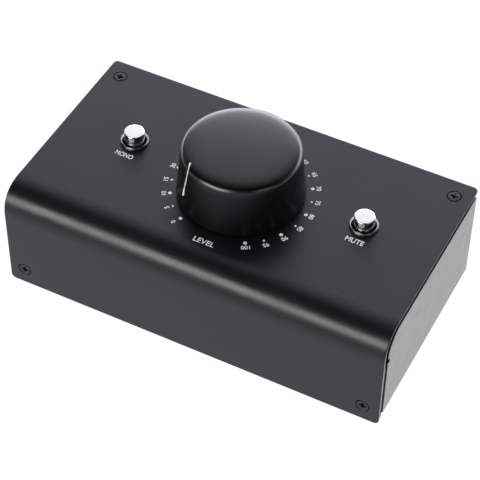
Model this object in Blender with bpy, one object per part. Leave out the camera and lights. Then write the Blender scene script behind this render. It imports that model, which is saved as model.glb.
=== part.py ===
# Studio monitor controller: a folded metal case with a large level knob between two
# push buttons, and input and output sockets on its rear panel.
# Metres, +Z up. The front faces -Y, and the origin is the middle of the footprint,
# at the height of the table that the rubber feet stand on.

import math

import bmesh
import bpy

MM = 0.001
FULL_TURN = 2 * math.pi
HALF_TURN = math.pi
QUARTER_TURN = math.pi / 2

# Fits
GAP = 0.3 * MM  # between pieces that rest on, or run in, each other
OVERRUN = 1.0 * MM  # how far a cutter runs past what it cuts
MERGE_DISTANCE = 0.001 * MM

# Smoothness of round shapes, in steps
KNOB_STEPS = 60
ROUND_STEPS = 32
SMALL_STEPS = 20
FASTENER_STEPS = 16
PIN_STEPS = 12
BEND_STEPS = 8
CORNER_STEPS = 4
EDGE_STEPS = 4
SHARP_ANGLE = math.radians(35)

# Black cover over the top and front
BODY_WIDTH = 155.0 * MM
BODY_DEPTH = 84.2 * MM
COVER_HEIGHT = 45.8 * MM
COVER_SHEET = 1.5 * MM
COVER_BEND_RADIUS = 10.2 * MM
COVER_CORNER_RADIUS = 1.8 * MM
COVER_DROP = 1.3 * MM  # how far the cover's front hangs below the tray

# Light grey tray: bottom, sides and rear panel
TRAY_SHEET = 1.2 * MM
TRAY_SIDE_INSET = 0.2 * MM
TRAY_REAR_INSET = 0.3 * MM
REAR_RECESS = 2.4 * MM
FLANGE_WIDTH = 11.0 * MM
FRONT_FLANGE_HEIGHT = 28.5 * MM
FLANGE_BEND_SPACE = 3.3 * MM  # from the cover's bend to the top flanges
NOTCH_HEIGHT = 1.6 * MM
NOTCH_DEPTH = 2.3 * MM

# Rubber feet
FOOT_HEIGHT = 3.5 * MM
FOOT_RADIUS = 5.5 * MM
FOOT_EDGE = 0.8 * MM
FOOT_INSET = 12.0 * MM

# Screws, all with M3 threads
SCREW_RADIUS = 1.5 * MM
SCREW_LENGTH = 8.0 * MM
SCREW_TIP = 0.4 * MM
SINK_HEAD_RADIUS = 2.4 * MM
SINK_HEAD_LAND = 0.15 * MM
PAN_HEAD_RADIUS = 2.8 * MM
PAN_HEAD_HEIGHT = 1.9 * MM
PAN_HEAD_EDGE = 0.7 * MM
CROSS_ARM = 1.5 * MM
CROSS_WIDTH = 0.8 * MM
CROSS_DEPTH = 0.9 * MM
CROSS_FLOOR_SHARE = 0.5
COVER_SCREW_SIDE_INSET = 6.6 * MM
COVER_SCREW_REAR_INSET = 8.0 * MM
COVER_SCREW_FRONT_HEIGHT = 7.3 * MM
BOARD_SCREW_LENGTH = 6.0 * MM

# Level knob
KNOB_CLEARANCE = 0.8 * MM  # over the cover
KNOB_HEIGHT = 22.0 * MM
KNOB_BASE_RADIUS = 24.0 * MM
KNOB_TAPER = 1.9 * MM  # how much smaller the radius is at its top
KNOB_EDGE_RADIUS = 2.5 * MM
KNOB_DOME = 1.4 * MM
KNOB_DOME_SHARES = (0.85, 0.7, 0.5, 0.25)  # of the flat's radius, where the dome has rings
KNOB_RECESS_RADIUS = 10.5 * MM
KNOB_RECESS_DEPTH = 5.8 * MM
KNOB_BORE_DEPTH = 10.0 * MM
KNOB_FOOT_EDGE = 0.4 * MM
POINTER_ANGLE = math.radians(-126.5)  # from +X, where the photo shows the line
POINTER_WIDTH = 0.9 * MM
POINTER_SLOT_DEPTH = 1.1 * MM
POINTER_START = 7.1 * MM  # above the knob's underside
GRUB_RADIUS = 1.5 * MM
GRUB_LENGTH = 8.0 * MM
GRUB_HEIGHT = 9.8 * MM  # its axis above the knob's underside
GRUB_KEY_WIDTH = 1.5 * MM
GRUB_KEY_DEPTH = 1.8 * MM

# Potentiometer under the knob
POT_WIDTH = 24.0 * MM
POT_FRONT = 13.0 * MM  # from its shaft's axis to the housing's front
POT_REAR_SPACE = 3.5 * MM  # from the housing to the connector board
POT_CORNER = 1.5 * MM
POT_BUSHING_RADIUS = 4.6 * MM
POT_BUSHING_RISE = 5.2 * MM  # over the cover
SHAFT_RADIUS = 3.0 * MM
SHAFT_FLAT = 1.6 * MM  # from the axis to the flat
SHAFT_CHAMFER = 0.5 * MM
SHAFT_SEAT_DEPTH = 11.0 * MM  # blind bore in the housing
WASHER_RADIUS = 8.0 * MM
WASHER_HEIGHT = 0.8 * MM
NUT_WIDTH = 12.5 * MM
NUT_HEIGHT = 2.2 * MM

# Push buttons
BUTTON_SIDE_INSET = 29.8 * MM  # from the case's side to the button's axis
BUTTON_REARWARD = 4.7 * MM
BUTTON_TRAVEL = 2.5 * MM
CAP_RADIUS = 3.85 * MM
CAP_RISE = 5.3 * MM  # top over the cover
CAP_LENGTH = 8.5 * MM
CAP_EDGE = 0.5 * MM
BEZEL_BAND = 1.2 * MM  # width of the ring that shows
BEZEL_HEIGHT = 0.9 * MM
BEZEL_RIM = 0.25 * MM  # straight foot under the rounded crest
BEZEL_CLEARANCE = 0.45 * MM  # around the cap
BEZEL_SLEEVE_WALL = 0.6 * MM
BEZEL_SLEEVE_LENGTH = 2.3 * MM
SWITCH_WIDTH = 8.5 * MM
SWITCH_HEIGHT = 6.7 * MM
SWITCH_WALL = 1.2 * MM
PLUNGER_RADIUS = 1.7 * MM
COLLAR_RADIUS = 3.0 * MM
COLLAR_HEIGHT = 0.9 * MM
PLUNGER_TIP = 5.0 * MM  # above the collar, inside the cap
SPRING_RADIUS = 2.4 * MM
SPRING_WIRE = 0.2 * MM
SPRING_TURNS = 4
SPRING_POINTS = 9

# Circuit boards, spacers and flat cable
BOARD_SHEET = 1.6 * MM
CONTROL_BOARD_DROP = 14.9 * MM  # from the cover's underside to the board's top
CONTROL_BOARD_END = 9.05 * MM  # past the switches
CONTROL_BOARD_LEAD = 3.0 * MM  # in front of the potentiometer
BOARD_SPACE = 2.5 * MM  # between the two boards
SPACER_WIDTH = 5.5 * MM
SPACER_INSET = 5.0 * MM
SPACER_BORE_DEPTH = 7.0 * MM
CONNECTOR_BOARD_SIDE_SPACE = 8.1 * MM  # to the tray's side walls
CONNECTOR_BOARD_FLOOR_SPACE = 2.4 * MM
CONNECTOR_BOARD_TOP_SPACE = 2.9 * MM
CABLE_WIDTH = 20.0 * MM
CABLE_SHEET = 1.0 * MM
CABLE_DROP = 12.0 * MM  # below the axes of the sockets
CABLE_RUN = 4.0 * MM
CABLE_BEND = 6.0 * MM

# Sockets, with a plate outside the rear panel and a barrel behind it
SOCKET_SIDE_INSET = 25.0 * MM  # from the case's side to the outer socket's axis
SOCKET_LOWERING = 1.15 * MM  # its axis under the middle of the case's height
PLATE_WIDTH = 26.0 * MM
PLATE_HEIGHT = 31.0 * MM
PLATE_SHEET = 1.8 * MM
PLATE_CORNER = 2.5 * MM
PLATE_SCREW_INSET = 3.5 * MM
BARREL_WALL = 2.2 * MM
BARREL_LENGTH = 21.0 * MM
LIP_HEIGHT = 0.2 * MM
WELL_RADIUS = 9.6 * MM
WELL_DEPTH = 13.0 * MM
WELL_RING = 1.6 * MM  # space around the insert
INSERT_RECESS = 1.0 * MM
JACK_RADIUS = 3.3 * MM
JACK_FLOOR = 3.1 * MM
CONTACT_HOLE_RADIUS = 1.4 * MM
CONTACT_RING = 5.4 * MM
CONTACT_ANGLES = (math.radians(30), math.radians(150), math.radians(270))
LATCH_WIDTH = 6.0 * MM
LATCH_HEIGHT = 2.8 * MM
LATCH_LENGTH = 7.1 * MM
LATCH_RISE = 10.5 * MM  # its lower side over the socket's axis
LATCH_PROUD = 0.4 * MM
LATCH_TRAVEL = 1.8 * MM
LATCH_WALL = 0.9 * MM
SHELL_LENGTH = 14.0 * MM
SHELL_LIP = 1.7 * MM
SHELL_LIP_WIDTH = 2.1 * MM
INSERT_THICKNESS = 3.5 * MM
PIN_RADIUS = 1.2 * MM
PIN_RING = 4.6 * MM
PIN_SINK = 1.6 * MM
PIN_POINT = 0.5 * MM
PIN_TAIL = 1.0 * MM  # past the connector board

# Places in the case that follow from the sizes
COVER_BOTTOM = FOOT_HEIGHT - COVER_DROP
COVER_TOP = COVER_BOTTOM + COVER_HEIGHT
COVER_UNDER = COVER_TOP - COVER_SHEET
COVER_SIDE = BODY_WIDTH / 2
COVER_FRONT = -BODY_DEPTH / 2
COVER_REAR = BODY_DEPTH / 2
TRAY_BOTTOM = FOOT_HEIGHT
TRAY_TOP = COVER_UNDER - GAP
TRAY_SIDE = COVER_SIDE - TRAY_SIDE_INSET
TRAY_FRONT = COVER_FRONT + COVER_SHEET + GAP
TRAY_REAR = COVER_REAR - TRAY_REAR_INSET
TRAY_INSIDE = TRAY_SIDE - TRAY_SHEET
PANEL_FACE = TRAY_REAR - REAR_RECESS
PANEL_INSIDE = PANEL_FACE - TRAY_SHEET
TOP_FLANGE_FRONT = TRAY_FRONT + COVER_BEND_RADIUS + FLANGE_BEND_SPACE
CONTROL_BOARD_TOP = COVER_UNDER - CONTROL_BOARD_DROP
CONTROL_BOARD_UNDER = CONTROL_BOARD_TOP - BOARD_SHEET
CONNECTOR_BOARD_REAR = PANEL_FACE - BARREL_LENGTH - GAP
CONNECTOR_BOARD_FRONT = CONNECTOR_BOARD_REAR - BOARD_SHEET
CONNECTOR_BOARD_SIDE = TRAY_INSIDE - CONNECTOR_BOARD_SIDE_SPACE
CONNECTOR_BOARD_LOW = TRAY_BOTTOM + TRAY_SHEET + CONNECTOR_BOARD_FLOOR_SPACE
CONNECTOR_BOARD_HIGH = TRAY_TOP - TRAY_SHEET - CONNECTOR_BOARD_TOP_SPACE
BUTTON_X = COVER_SIDE - BUTTON_SIDE_INSET
BUTTON_Y = BUTTON_REARWARD
CONTROL_BOARD_SIDE = BUTTON_X + SWITCH_WIDTH / 2 + CONTROL_BOARD_END
CONTROL_BOARD_REAR = CONNECTOR_BOARD_FRONT - BOARD_SPACE
CONTROL_BOARD_FRONT = -POT_FRONT - CONTROL_BOARD_LEAD
SOCKET_HEIGHT = (TRAY_BOTTOM + COVER_TOP) / 2 - SOCKET_LOWERING
BARREL_RADIUS = WELL_RADIUS + BARREL_WALL
INSERT_RADIUS = WELL_RADIUS - WELL_RING
SHELL_LIP_RADIUS = WELL_RADIUS - SHELL_LIP_WIDTH
PLATE_SCREW_X = PLATE_WIDTH / 2 - PLATE_SCREW_INSET
PLATE_SCREW_Y = PLATE_HEIGHT / 2 - PLATE_SCREW_INSET
PLATE_FACE = GAP + PLATE_SHEET  # from the rear panel's face
SCREW_HOLE_RADIUS = SCREW_RADIUS + GAP


def remove_everything():
    for old in list(bpy.data.objects):
        bpy.data.objects.remove(old, do_unlink=True)


def make_finish(name, colour, roughness, metallic):
    finish = bpy.data.materials.new(name)
    finish.use_nodes = True
    shader = finish.node_tree.nodes["Principled BSDF"]
    shader.inputs["Base Color"].default_value = (*colour, 1.0)
    shader.inputs["Roughness"].default_value = roughness
    shader.inputs["Metallic"].default_value = metallic
    finish.diffuse_color = (*colour, 1.0)
    return finish


def make_finishes():
    return {
        "powder_coat": make_finish("black powder coat", (0.066, 0.066, 0.07), 0.5, 0.0),
        "zinc_plate": make_finish("satin zinc plate", (0.4, 0.41, 0.39), 0.45, 0.9),
        "black_anodised": make_finish("black anodised aluminium", (0.03, 0.03, 0.032), 0.35, 0.6),
        "chrome": make_finish("chrome plate", (0.8, 0.8, 0.8), 0.08, 1.0),
        "white_paint": make_finish("white paint", (0.85, 0.85, 0.85), 0.5, 0.0),
        "rubber": make_finish("black rubber", (0.02, 0.02, 0.02), 0.8, 0.0),
        "black_screw": make_finish("blackened steel", (0.02, 0.02, 0.02), 0.4, 0.6),
        "bright_steel": make_finish("bright steel", (0.6, 0.6, 0.6), 0.3, 1.0),
        "black_plastic": make_finish("black plastic", (0.02, 0.02, 0.02), 0.45, 0.0),
        "circuit_board": make_finish("circuit board", (0.02, 0.12, 0.05), 0.5, 0.0),
        "gold_plate": make_finish("gold plate", (0.8, 0.6, 0.25), 0.2, 1.0),
        "grey_cable": make_finish("grey cable", (0.35, 0.35, 0.35), 0.6, 0.0),
    }


def arc(centre_u, centre_v, radius, start, end, steps):
    turn = (end - start) / steps
    return [
        (
            centre_u + radius * math.cos(start + turn * i),
            centre_v + radius * math.sin(start + turn * i),
        )
        for i in range(steps + 1)
    ]


def rounded_rectangle(width, height, radius, steps):
    u = width / 2 - radius
    v = height / 2 - radius
    outline = []
    for corner, centre in enumerate([(u, v), (-u, v), (-u, -v), (u, -v)]):
        start = corner * QUARTER_TURN
        outline += arc(*centre, radius, start, start + QUARTER_TURN, steps)
    return outline


def hexagon(across_flats):
    corner = across_flats / 2 / math.cos(HALF_TURN / 6)
    return arc(0, 0, corner, 0, FULL_TURN, 6)[:-1]


def in_space(u, v, w, along):
    if along == "x":
        return (w, u, v)
    if along == "y":
        return (u, w, v)
    return (u, v, w)


def new_object(name, solid, finish, smooth=False):
    bmesh.ops.recalc_face_normals(solid, faces=solid.faces)
    mesh = bpy.data.meshes.new(name)
    solid.to_mesh(mesh)
    solid.free()
    if finish:
        mesh.materials.append(finish)
    if smooth:
        mesh.shade_smooth()
        mesh.set_sharp_from_angle(angle=SHARP_ANGLE)
    obj = bpy.data.objects.new(name, mesh)
    bpy.context.scene.collection.objects.link(obj)
    return obj


def new_axis(name, place, turn=(0, 0, 0)):
    axis = bpy.data.objects.new(name, None)
    axis.location = place
    axis.rotation_euler = turn
    bpy.context.scene.collection.objects.link(axis)
    return axis


def prism(name, outline, low, high, finish=None, along="z", floor_share=1.0):
    # floor_share shrinks the low end about its middle, for tapered recesses
    solid = bmesh.new()
    floor = [solid.verts.new(in_space(u * floor_share, v * floor_share, low, along)) for u, v in outline]
    roof = [solid.verts.new(in_space(u, v, high, along)) for u, v in outline]
    solid.faces.new(floor)
    solid.faces.new(roof)
    for i, point in enumerate(floor):
        solid.faces.new((floor[i - 1], point, roof[i], roof[i - 1]))
    return new_object(name, solid, finish)


def box(name, low, high, finish=None):
    outline = [(low[0], low[1]), (high[0], low[1]), (high[0], high[1]), (low[0], high[1])]
    return prism(name, outline, low[2], high[2], finish)


def turned(name, outline, steps, finish=None, ring=False):
    # outline runs through (radius, height) points, from axis to axis or round a ring
    solid = bmesh.new()
    points = [solid.verts.new((radius, 0, height)) for radius, height in outline]
    edges = [solid.edges.new(pair) for pair in zip(points, points[1:])]
    if ring:
        edges.append(solid.edges.new((points[-1], points[0])))
    bmesh.ops.spin(
        solid,
        geom=points + edges,
        cent=(0, 0, 0),
        axis=(0, 0, 1),
        angle=FULL_TURN,
        steps=steps,
        use_merge=True,
    )
    bmesh.ops.remove_doubles(solid, verts=solid.verts, dist=MERGE_DISTANCE)
    return new_object(name, solid, finish, smooth=True)


def rod(name, radius, low, high, steps, finish=None):
    return turned(name, [(0, low), (radius, low), (radius, high), (0, high)], steps, finish)


def washer(name, bore, radius, low, high, steps, finish):
    outline = [(bore, low), (radius, low), (radius, high), (bore, high)]
    return turned(name, outline, steps, finish, ring=True)


def put(obj, place, turn=(0, 0, 0), parent=None):
    obj.location = place
    obj.rotation_euler = turn
    if parent:
        obj.parent = parent
    return obj


def combine(target, tool, operation):
    tool.hide_render = True
    tool.display_type = "WIRE"
    step = target.modifiers.new(operation.lower(), "BOOLEAN")
    step.operation = operation
    step.solver = "EXACT"
    step.object = tool


def cut(target, tool):
    combine(target, tool, "DIFFERENCE")


def join(target, tool):
    combine(target, tool, "UNION")


def cut_cross(screw, height, parent=None):
    arm = CROSS_ARM
    half = CROSS_WIDTH / 2
    quarter = [(half, -arm), (half, -half), (arm, -half), (arm, half), (half, half), (half, arm)]
    outline = quarter + [(-u, -v) for u, v in quarter]
    cross = prism(
        "cut_cross_" + screw.name,
        outline,
        height - CROSS_DEPTH,
        height + OVERRUN,
        floor_share=CROSS_FLOOR_SHARE,
    )
    put(cross, screw.location, screw.rotation_euler, parent)
    cut(screw, cross)


def sunk_screw(name, place, turn, finish, parent=None):
    cone = SINK_HEAD_LAND + SINK_HEAD_RADIUS - SCREW_RADIUS
    outline = [
        (0, -SCREW_LENGTH),
        (SCREW_RADIUS - SCREW_TIP, -SCREW_LENGTH),
        (SCREW_RADIUS, -SCREW_LENGTH + SCREW_TIP),
        (SCREW_RADIUS, -cone),
        (SINK_HEAD_RADIUS, -SINK_HEAD_LAND),
        (SINK_HEAD_RADIUS, 0),
        (0, 0),
    ]
    screw = put(turned(name, outline, FASTENER_STEPS, finish), place, turn, parent)
    cut_cross(screw, 0, parent)
    return screw


def countersink(target, name, place, turn, sheet, parent=None):
    head = SINK_HEAD_RADIUS + GAP
    hole = SCREW_HOLE_RADIUS
    outline = [
        (0, -sheet - OVERRUN),
        (hole, -sheet - OVERRUN),
        (hole, hole - head - SINK_HEAD_LAND),
        (head, -SINK_HEAD_LAND),
        (head, OVERRUN),
        (0, OVERRUN),
    ]
    tool = put(turned("cut_" + name, outline, FASTENER_STEPS), place, turn, parent)
    cut(target, tool)


def cover_screw_places():
    x = COVER_SIDE - COVER_SCREW_SIDE_INSET
    y = COVER_REAR - COVER_SCREW_REAR_INSET
    z = COVER_BOTTOM + COVER_SCREW_FRONT_HEIGHT
    to_front = (QUARTER_TURN, 0, 0)
    return {
        "rear_left": ((-x, y, COVER_TOP), (0, 0, 0)),
        "rear_right": ((x, y, COVER_TOP), (0, 0, 0)),
        "front_left": ((-x, COVER_FRONT, z), to_front),
        "front_right": ((x, COVER_FRONT, z), to_front),
    }


def side_line(front, top, rear, bottom, bend):
    # the line of the case seen from its side, from the front's foot over the bend
    over_bend = arc(front + bend, top - bend, bend, HALF_TURN, QUARTER_TURN, BEND_STEPS)
    return [(front, bottom)] + over_bend + [(rear, top)]


def button_places():
    return {"mono": -BUTTON_X, "mute": BUTTON_X}


def make_cover(finishes):
    outer = side_line(COVER_FRONT, COVER_TOP, COVER_REAR, COVER_BOTTOM, COVER_BEND_RADIUS)
    inner = side_line(
        COVER_FRONT + COVER_SHEET,
        COVER_UNDER,
        COVER_REAR,
        COVER_BOTTOM,
        COVER_BEND_RADIUS - COVER_SHEET,
    )
    cover = prism("cover", outer + inner[::-1], -COVER_SIDE, COVER_SIDE, finishes["powder_coat"], "x")
    round_cover_corners(cover)
    shaft_hole = rod(
        "cut_cover_bushing",
        POT_BUSHING_RADIUS + GAP,
        COVER_UNDER - OVERRUN,
        COVER_TOP + OVERRUN,
        SMALL_STEPS,
    )
    cut(cover, shaft_hole)
    sleeve = CAP_RADIUS + BEZEL_CLEARANCE + BEZEL_SLEEVE_WALL
    for name, x in button_places().items():
        hole = rod(
            "cut_cover_" + name,
            sleeve + GAP,
            COVER_UNDER - OVERRUN,
            COVER_TOP + OVERRUN,
            SMALL_STEPS,
        )
        put(hole, (x, BUTTON_Y, 0))
        cut(cover, hole)
    for name, (place, turn) in cover_screw_places().items():
        countersink(cover, "cover_" + name, place, turn, COVER_SHEET)
    return cover


def near(first, second):
    return abs(first - second) < MERGE_DISTANCE


def round_cover_corners(cover):
    solid = bmesh.new()
    solid.from_mesh(cover.data)
    corners = []
    for edge in solid.edges:
        first, second = (end.co for end in edge.verts)
        at_side = near(abs(first.x), COVER_SIDE) and near(first.x, second.x)
        at_rear = near(first.y, COVER_REAR) and near(second.y, COVER_REAR)
        at_foot = near(first.z, COVER_BOTTOM) and near(second.z, COVER_BOTTOM)
        if at_side and (at_rear or at_foot):
            corners.append(edge)
    bmesh.ops.bevel(
        solid,
        geom=corners,
        offset=COVER_CORNER_RADIUS,
        segments=CORNER_STEPS,
        profile=0.5,
        affect="EDGES",
    )
    solid.to_mesh(cover.data)
    solid.free()


def make_cover_screws(finishes):
    for name, (place, turn) in cover_screw_places().items():
        sunk_screw("cover_screw_" + name, place, turn, finishes["black_screw"])


def make_tray(finishes):
    bend = COVER_BEND_RADIUS - COVER_SHEET - GAP
    outline = side_line(TRAY_FRONT, TRAY_TOP, TRAY_REAR, TRAY_BOTTOM, bend)
    outline.append((TRAY_REAR, TRAY_BOTTOM))
    tray = prism("tray", outline, -TRAY_SIDE, TRAY_SIDE, finishes["zinc_plate"], "x")
    floor = TRAY_BOTTOM + TRAY_SHEET
    past_top = TRAY_TOP + OVERRUN
    past_front = TRAY_FRONT - OVERRUN
    between_flanges = TRAY_SIDE - FLANGE_WIDTH
    inside = box(
        "cut_tray_inside",
        (-TRAY_INSIDE, TRAY_FRONT + TRAY_SHEET, floor),
        (TRAY_INSIDE, PANEL_INSIDE, TRAY_TOP - TRAY_SHEET),
    )
    mouth = box(
        "cut_tray_mouth",
        (-between_flanges, past_front, floor),
        (between_flanges, PANEL_INSIDE, past_top),
    )
    flange_top = TRAY_BOTTOM + FRONT_FLANGE_HEIGHT
    bend_space = box(
        "cut_tray_bend",
        (-TRAY_INSIDE, past_front, flange_top),
        (TRAY_INSIDE, TOP_FLANGE_FRONT, past_top),
    )
    recess = box(
        "cut_tray_recess",
        (-TRAY_INSIDE, PANEL_FACE, TRAY_BOTTOM - OVERRUN),
        (TRAY_INSIDE, TRAY_REAR + OVERRUN, past_top),
    )
    notch = box(
        "cut_tray_notch",
        (-TRAY_SIDE - OVERRUN, past_front, flange_top),
        (TRAY_SIDE + OVERRUN, TRAY_FRONT + NOTCH_DEPTH, flange_top + NOTCH_HEIGHT),
    )
    for tool in (inside, mouth, bend_space, recess, notch):
        cut(tray, tool)
    for name, (place, turn) in cover_screw_places().items():
        depth = COVER_SHEET + GAP + TRAY_SHEET + OVERRUN
        tool = rod("cut_tray_" + name, SCREW_HOLE_RADIUS, -depth, OVERRUN, FASTENER_STEPS)
        cut(tray, put(tool, place, turn))
    return tray


def make_feet(finishes):
    outline = [
        (0, 0),
        (FOOT_RADIUS - FOOT_EDGE, 0),
        (FOOT_RADIUS, FOOT_EDGE),
        (FOOT_RADIUS, FOOT_HEIGHT - GAP),
        (0, FOOT_HEIGHT - GAP),
    ]
    x = COVER_SIDE - FOOT_INSET
    y = COVER_REAR - FOOT_INSET
    places = {"front_left": (-x, -y), "front_right": (x, -y), "rear_left": (-x, y), "rear_right": (x, y)}
    for name, (foot_x, foot_y) in places.items():
        foot = turned("foot_" + name, outline, SMALL_STEPS, finishes["rubber"])
        put(foot, (foot_x, foot_y, 0))


def knob_side(height):
    # radius of the knob's tapered side at a height over its underside
    share = height / KNOB_HEIGHT
    return KNOB_BASE_RADIUS - KNOB_TAPER * share


def make_knob(finishes, axis):
    base = KNOB_CLEARANCE
    top = base + KNOB_HEIGHT
    crown = knob_side(KNOB_HEIGHT - KNOB_EDGE_RADIUS) - KNOB_EDGE_RADIUS
    recess_top = base + KNOB_RECESS_DEPTH
    bore_top = recess_top + KNOB_BORE_DEPTH
    bore = SHAFT_RADIUS + GAP
    outline = [(0, bore_top), (bore, bore_top), (bore, recess_top), (KNOB_RECESS_RADIUS, recess_top)]
    outline += [(KNOB_RECESS_RADIUS, base), (KNOB_BASE_RADIUS - KNOB_FOOT_EDGE, base)]
    outline += [(KNOB_BASE_RADIUS, base + KNOB_FOOT_EDGE)]
    outline += arc(crown, top - KNOB_EDGE_RADIUS, KNOB_EDGE_RADIUS, 0, QUARTER_TURN, EDGE_STEPS)
    for crown_share in KNOB_DOME_SHARES:
        outline.append((crown * crown_share, top + KNOB_DOME * (1 - crown_share**2)))
    outline.append((0, top + KNOB_DOME))
    knob = put(turned("level_knob", outline, KNOB_STEPS, finishes["black_anodised"]), (0, 0, 0), parent=axis)
    cut_pointer_slot(knob, axis)
    cut_grub_hole(knob, axis)
    make_pointer(finishes, axis)
    make_grub_screw(finishes, axis)


def cut_pointer_slot(knob, axis):
    low = KNOB_CLEARANCE + POINTER_START - GAP
    high = KNOB_CLEARANCE + KNOB_HEIGHT + OVERRUN
    past = KNOB_BASE_RADIUS + OVERRUN
    outline = [
        (knob_side(POINTER_START - GAP) - POINTER_SLOT_DEPTH, low),
        (past, low),
        (past, high),
        (knob_side(KNOB_HEIGHT + OVERRUN) - POINTER_SLOT_DEPTH, high),
    ]
    half = POINTER_WIDTH / 2 + GAP
    slot = prism("cut_pointer_slot", outline, -half, half, along="y")
    put(slot, (0, 0, 0), (0, 0, POINTER_ANGLE), axis)
    cut(knob, slot)


def make_pointer(finishes, axis):
    finish_height = KNOB_HEIGHT - KNOB_EDGE_RADIUS
    inner_gap = POINTER_SLOT_DEPTH - GAP
    outline = [
        (knob_side(POINTER_START) - inner_gap, KNOB_CLEARANCE + POINTER_START),
        (knob_side(POINTER_START), KNOB_CLEARANCE + POINTER_START),
        (knob_side(finish_height), KNOB_CLEARANCE + finish_height),
        (knob_side(finish_height) - inner_gap, KNOB_CLEARANCE + finish_height),
    ]
    half = POINTER_WIDTH / 2
    pointer = prism("knob_pointer", outline, -half, half, finishes["white_paint"], "y")
    put(pointer, (0, 0, 0), (0, 0, POINTER_ANGLE), axis)


def cut_grub_hole(knob, axis):
    hole = rod("cut_grub_hole", GRUB_RADIUS + GAP, 0, KNOB_BASE_RADIUS + OVERRUN, FASTENER_STEPS)
    place = (0, 0, KNOB_CLEARANCE + GRUB_HEIGHT)
    put(hole, place, (0, QUARTER_TURN, POINTER_ANGLE + HALF_TURN), axis)
    cut(knob, hole)


def make_grub_screw(finishes, axis):
    inner_end = SHAFT_FLAT + GAP
    outer_end = inner_end + GRUB_LENGTH
    grub = rod("knob_grub_screw", GRUB_RADIUS, inner_end, outer_end, PIN_STEPS, finishes["black_screw"])
    place = (0, 0, KNOB_CLEARANCE + GRUB_HEIGHT)
    turn = (0, QUARTER_TURN, POINTER_ANGLE + HALF_TURN)
    put(grub, place, turn, axis)
    key = prism("cut_grub_key", hexagon(GRUB_KEY_WIDTH), outer_end - GRUB_KEY_DEPTH, outer_end + OVERRUN)
    put(key, place, turn, axis)
    cut(grub, key)


def make_potentiometer(finishes, axis):
    # heights are over the cover's top, where the knob's axis has its origin
    housing_top = -COVER_SHEET - GAP
    housing_low = CONTROL_BOARD_TOP + GAP - COVER_TOP
    housing_rear = CONNECTOR_BOARD_FRONT - POT_REAR_SPACE
    outline = rounded_rectangle(POT_WIDTH, POT_FRONT + housing_rear, POT_CORNER, CORNER_STEPS)
    housing = prism("potentiometer", outline, housing_low, housing_top, finishes["bright_steel"])
    put(housing, (0, (housing_rear - POT_FRONT) / 2, 0), parent=axis)
    bushing = rod(
        "join_bushing",
        POT_BUSHING_RADIUS,
        housing_low + OVERRUN,
        POT_BUSHING_RISE,
        SMALL_STEPS,
    )
    join(housing, put(bushing, (0, 0, 0), parent=axis))
    shaft_low = housing_top - SHAFT_SEAT_DEPTH
    bore = rod("cut_bushing_bore", SHAFT_RADIUS + GAP, shaft_low, POT_BUSHING_RISE + OVERRUN, SMALL_STEPS)
    cut(housing, put(bore, (0, 0, 0), parent=axis))

    shaft_top = KNOB_CLEARANCE + KNOB_RECESS_DEPTH + KNOB_BORE_DEPTH - GAP
    shaft_outline = [
        (0, shaft_low + GAP),
        (SHAFT_RADIUS, shaft_low + GAP),
        (SHAFT_RADIUS, shaft_top - SHAFT_CHAMFER),
        (SHAFT_RADIUS - SHAFT_CHAMFER, shaft_top),
        (0, shaft_top),
    ]
    shaft = turned("potentiometer_shaft", shaft_outline, SMALL_STEPS, finishes["bright_steel"])
    put(shaft, (0, 0, 0), parent=axis)
    flat = box(
        "cut_shaft_flat",
        (SHAFT_FLAT, -SHAFT_RADIUS - OVERRUN, KNOB_CLEARANCE + KNOB_RECESS_DEPTH),
        (SHAFT_RADIUS + OVERRUN, SHAFT_RADIUS + OVERRUN, shaft_top + OVERRUN),
    )
    put(flat, (0, 0, 0), (0, 0, POINTER_ANGLE + HALF_TURN), axis)
    cut(shaft, flat)

    bore_radius = POT_BUSHING_RADIUS + GAP
    ring = washer(
        "potentiometer_washer",
        bore_radius,
        WASHER_RADIUS,
        GAP,
        GAP + WASHER_HEIGHT,
        SMALL_STEPS,
        finishes["bright_steel"],
    )
    put(ring, (0, 0, 0), parent=axis)
    nut_low = GAP + WASHER_HEIGHT + GAP
    nut_high = nut_low + NUT_HEIGHT
    nut = prism("potentiometer_nut", hexagon(NUT_WIDTH), nut_low, nut_high, finishes["bright_steel"])
    put(nut, (0, 0, 0), parent=axis)
    nut_bore = rod("cut_nut_bore", bore_radius, nut_low - OVERRUN, nut_high + OVERRUN, SMALL_STEPS)
    cut(nut, put(nut_bore, (0, 0, 0), parent=axis))


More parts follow.
